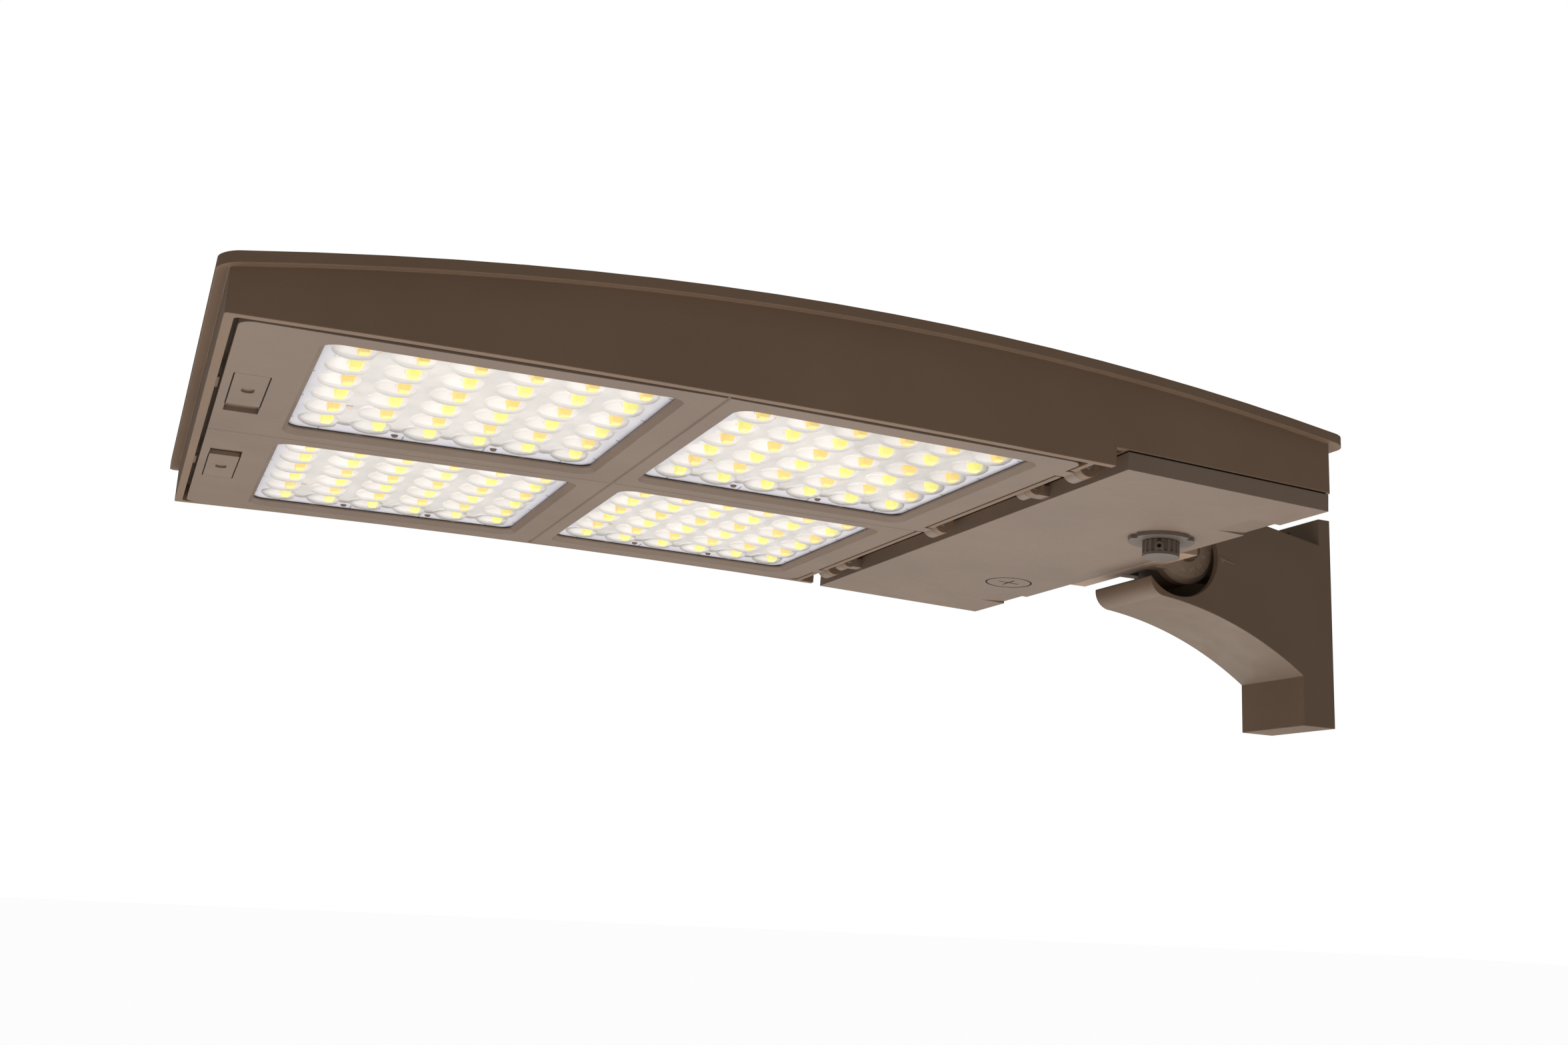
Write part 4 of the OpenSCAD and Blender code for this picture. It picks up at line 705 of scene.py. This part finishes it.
full_turn = {"cent": (0, 0, 0), "axis": (0, 0, 1), "angle": math.tau, "steps": GROOVE_SHADE_STEPS}
bmesh.ops.spin(painted_groove_shade, geom=edges, use_merge=True, use_duplicate=False, **full_turn)
for turn_deg in (0, 90):
    add_bar(painted_groove_shade, Matrix.Rotation(math.radians(turn_deg), 4, "Z"), PLUS_SIZE)
bmesh.ops.translate(painted_groove_shade, verts=painted_groove_shade.verts, vec=(KNOCK_X, KNOCK_Y, 0))
tray = at(Vector((0, TRAY_FRONT_Y, TRAY_Z)) * MM) @ Matrix.Rotation(math.radians(-TRAY_FALL), 4, "X")
set_down("knock_out_painted_shade", to_metres(painted_groove_shade, tray), "driver_door", [gap_shade_finish])

# %% Painted shade in the latch gaps
LATCH_X, LATCH_LEN, LATCH_Y, POCKET_HALF = 68.1, 45.4, -172.9, 7.0
GAP_INSET, GAP_MIDDLE, GAP_SIZE = 0.1, 0.32, (LATCH_LEN, 0.55, 0.7)
gap_shades = bmesh.new()
for side in (1, -1):
    for edge in (1, -1):
        add_bar(gap_shades, at((side * LATCH_X, LATCH_Y + edge * (POCKET_HALF - GAP_INSET), GAP_MIDDLE)), GAP_SIZE)
set_down("latch_gap_painted_shade", to_metres(gap_shades, door_half(0)), "optic_door", [gap_shade_finish])

# %% [markdown]
# The floor is a wide pale plane well below the light. The background is white where the camera or
# clear plastic looks at it, while the world itself gives only a soft fill. Three large soft lamps light the object:
# one from below, where the photographer's sweep threw light up at the doors, one from above, and one weaker from
# behind. Stronger lamps could whiten the background too, but they would bleach the finishes.


# %% Floor
FLOOR_Z, FLOOR_HALF, WHITE_SHARE = -0.75, 30.0, 0.97


def stage_floor():
    sheet = bmesh.new()
    bmesh.ops.create_grid(sheet, x_segments=1, y_segments=1, size=FLOOR_HALF)
    bmesh.ops.translate(sheet, verts=sheet.verts, vec=(0, 0, FLOOR_Z))
    mesh = bpy.data.meshes.new("floor")
    sheet.to_mesh(mesh)
    sheet.free()
    paper = Finish("floor_paper", Roughness=0.9, Specular_IOR_Level=0.1)
    paper.drive(Base_Color=paper.blend(paper.noise(400, 2), (0.86, 0.86, 0.86, 1), (0.9, 0.9, 0.9, 1)))
    path = paper.node("ShaderNodeLightPath").outputs
    white = paper.node("ShaderNodeEmission", {"Color": (1, 1, 1, 1), "Strength": 1.0})
    seen = paper.node("ShaderNodeMath", {0: path["Is Camera Ray"], 1: WHITE_SHARE}, operation="MULTIPLY")
    paper.mix_output(seen.outputs[0], white.outputs[0])
    mesh.materials.append(paper.material)
    floor = bpy.data.objects.new("floor", mesh)
    bpy.context.scene.collection.objects.link(floor)


stage_floor()
print("floor at", FLOOR_Z)


# %% World
WORLD_FILL, WORLD_SEEN, SEEN_THROUGH_PLASTIC = 0.2, 1.0, 0.85


def soft_world():
    """A soft fill, which the camera sees as white, and clear plastic as a little less than white."""
    world = bpy.data.worlds.new("studio")
    bpy.context.scene.world = world
    world.use_nodes = True
    tree = world.node_tree
    tree.nodes.clear()
    add = tree.nodes.new
    path, mix, out = add("ShaderNodeLightPath"), add("ShaderNodeMixShader"), add("ShaderNodeOutputWorld")
    fill, white = add("ShaderNodeBackground"), add("ShaderNodeBackground")
    either, dim = add("ShaderNodeMath"), add("ShaderNodeMath")
    fill.inputs["Strength"].default_value, white.inputs["Strength"].default_value = WORLD_FILL, WORLD_SEEN
    for background in (fill, white):
        background.inputs["Color"].default_value = (1, 1, 1, 1)
    either.operation, dim.operation = "MAXIMUM", "MULTIPLY"
    dim.inputs[1].default_value = SEEN_THROUGH_PLASTIC
    for output, socket in (
        (path.outputs["Is Transmission Ray"], dim.inputs[0]),
        (path.outputs["Is Camera Ray"], either.inputs[0]),
        (dim.outputs[0], either.inputs[1]),
        (either.outputs[0], mix.inputs[0]),
        (fill.outputs[0], mix.inputs[1]),
        (white.outputs[0], mix.inputs[2]),
        (mix.outputs[0], out.inputs["Surface"]),
    ):
        tree.links.new(output, socket)


soft_world()
print("world fill", WORLD_FILL)

# %% Lamps
LIGHT_MIDDLE = (0, -0.33, 0.03)
# Name, place, target and size in metres, and watts
LAMPS = [
    ("lamp_below", (-0.04, -0.45, -0.72), (-0.04, -0.45, 0.0), (2.4, 2.2), 22),
    ("lamp_above", (0.0, -0.6, 1.5), LIGHT_MIDDLE, (1.8, 1.4), 7),
    ("lamp_behind", (-1.3, 0.7, 0.5), LIGHT_MIDDLE, (1.2, 1.0), 4),
]


def soft_lamp(name, place, target, size, watts):
    lamp = bpy.data.objects.new(name, bpy.data.lights.new(name, "AREA"))
    bpy.context.scene.collection.objects.link(lamp)
    lamp.data.shape = "RECTANGLE"
    lamp.data.size, lamp.data.size_y = size
    lamp.data.energy = watts
    lamp.visible_camera = False
    ahead = Vector(target) - Vector(place)
    lamp.matrix_world = at(place) @ ahead.to_track_quat("-Z", "Y").to_matrix().to_4x4()


for lamp in LAMPS:
    soft_lamp(*lamp)
bpy.context.scene.view_settings.view_transform = "Standard"
print("lamps", [lamp[0] for lamp in LAMPS])
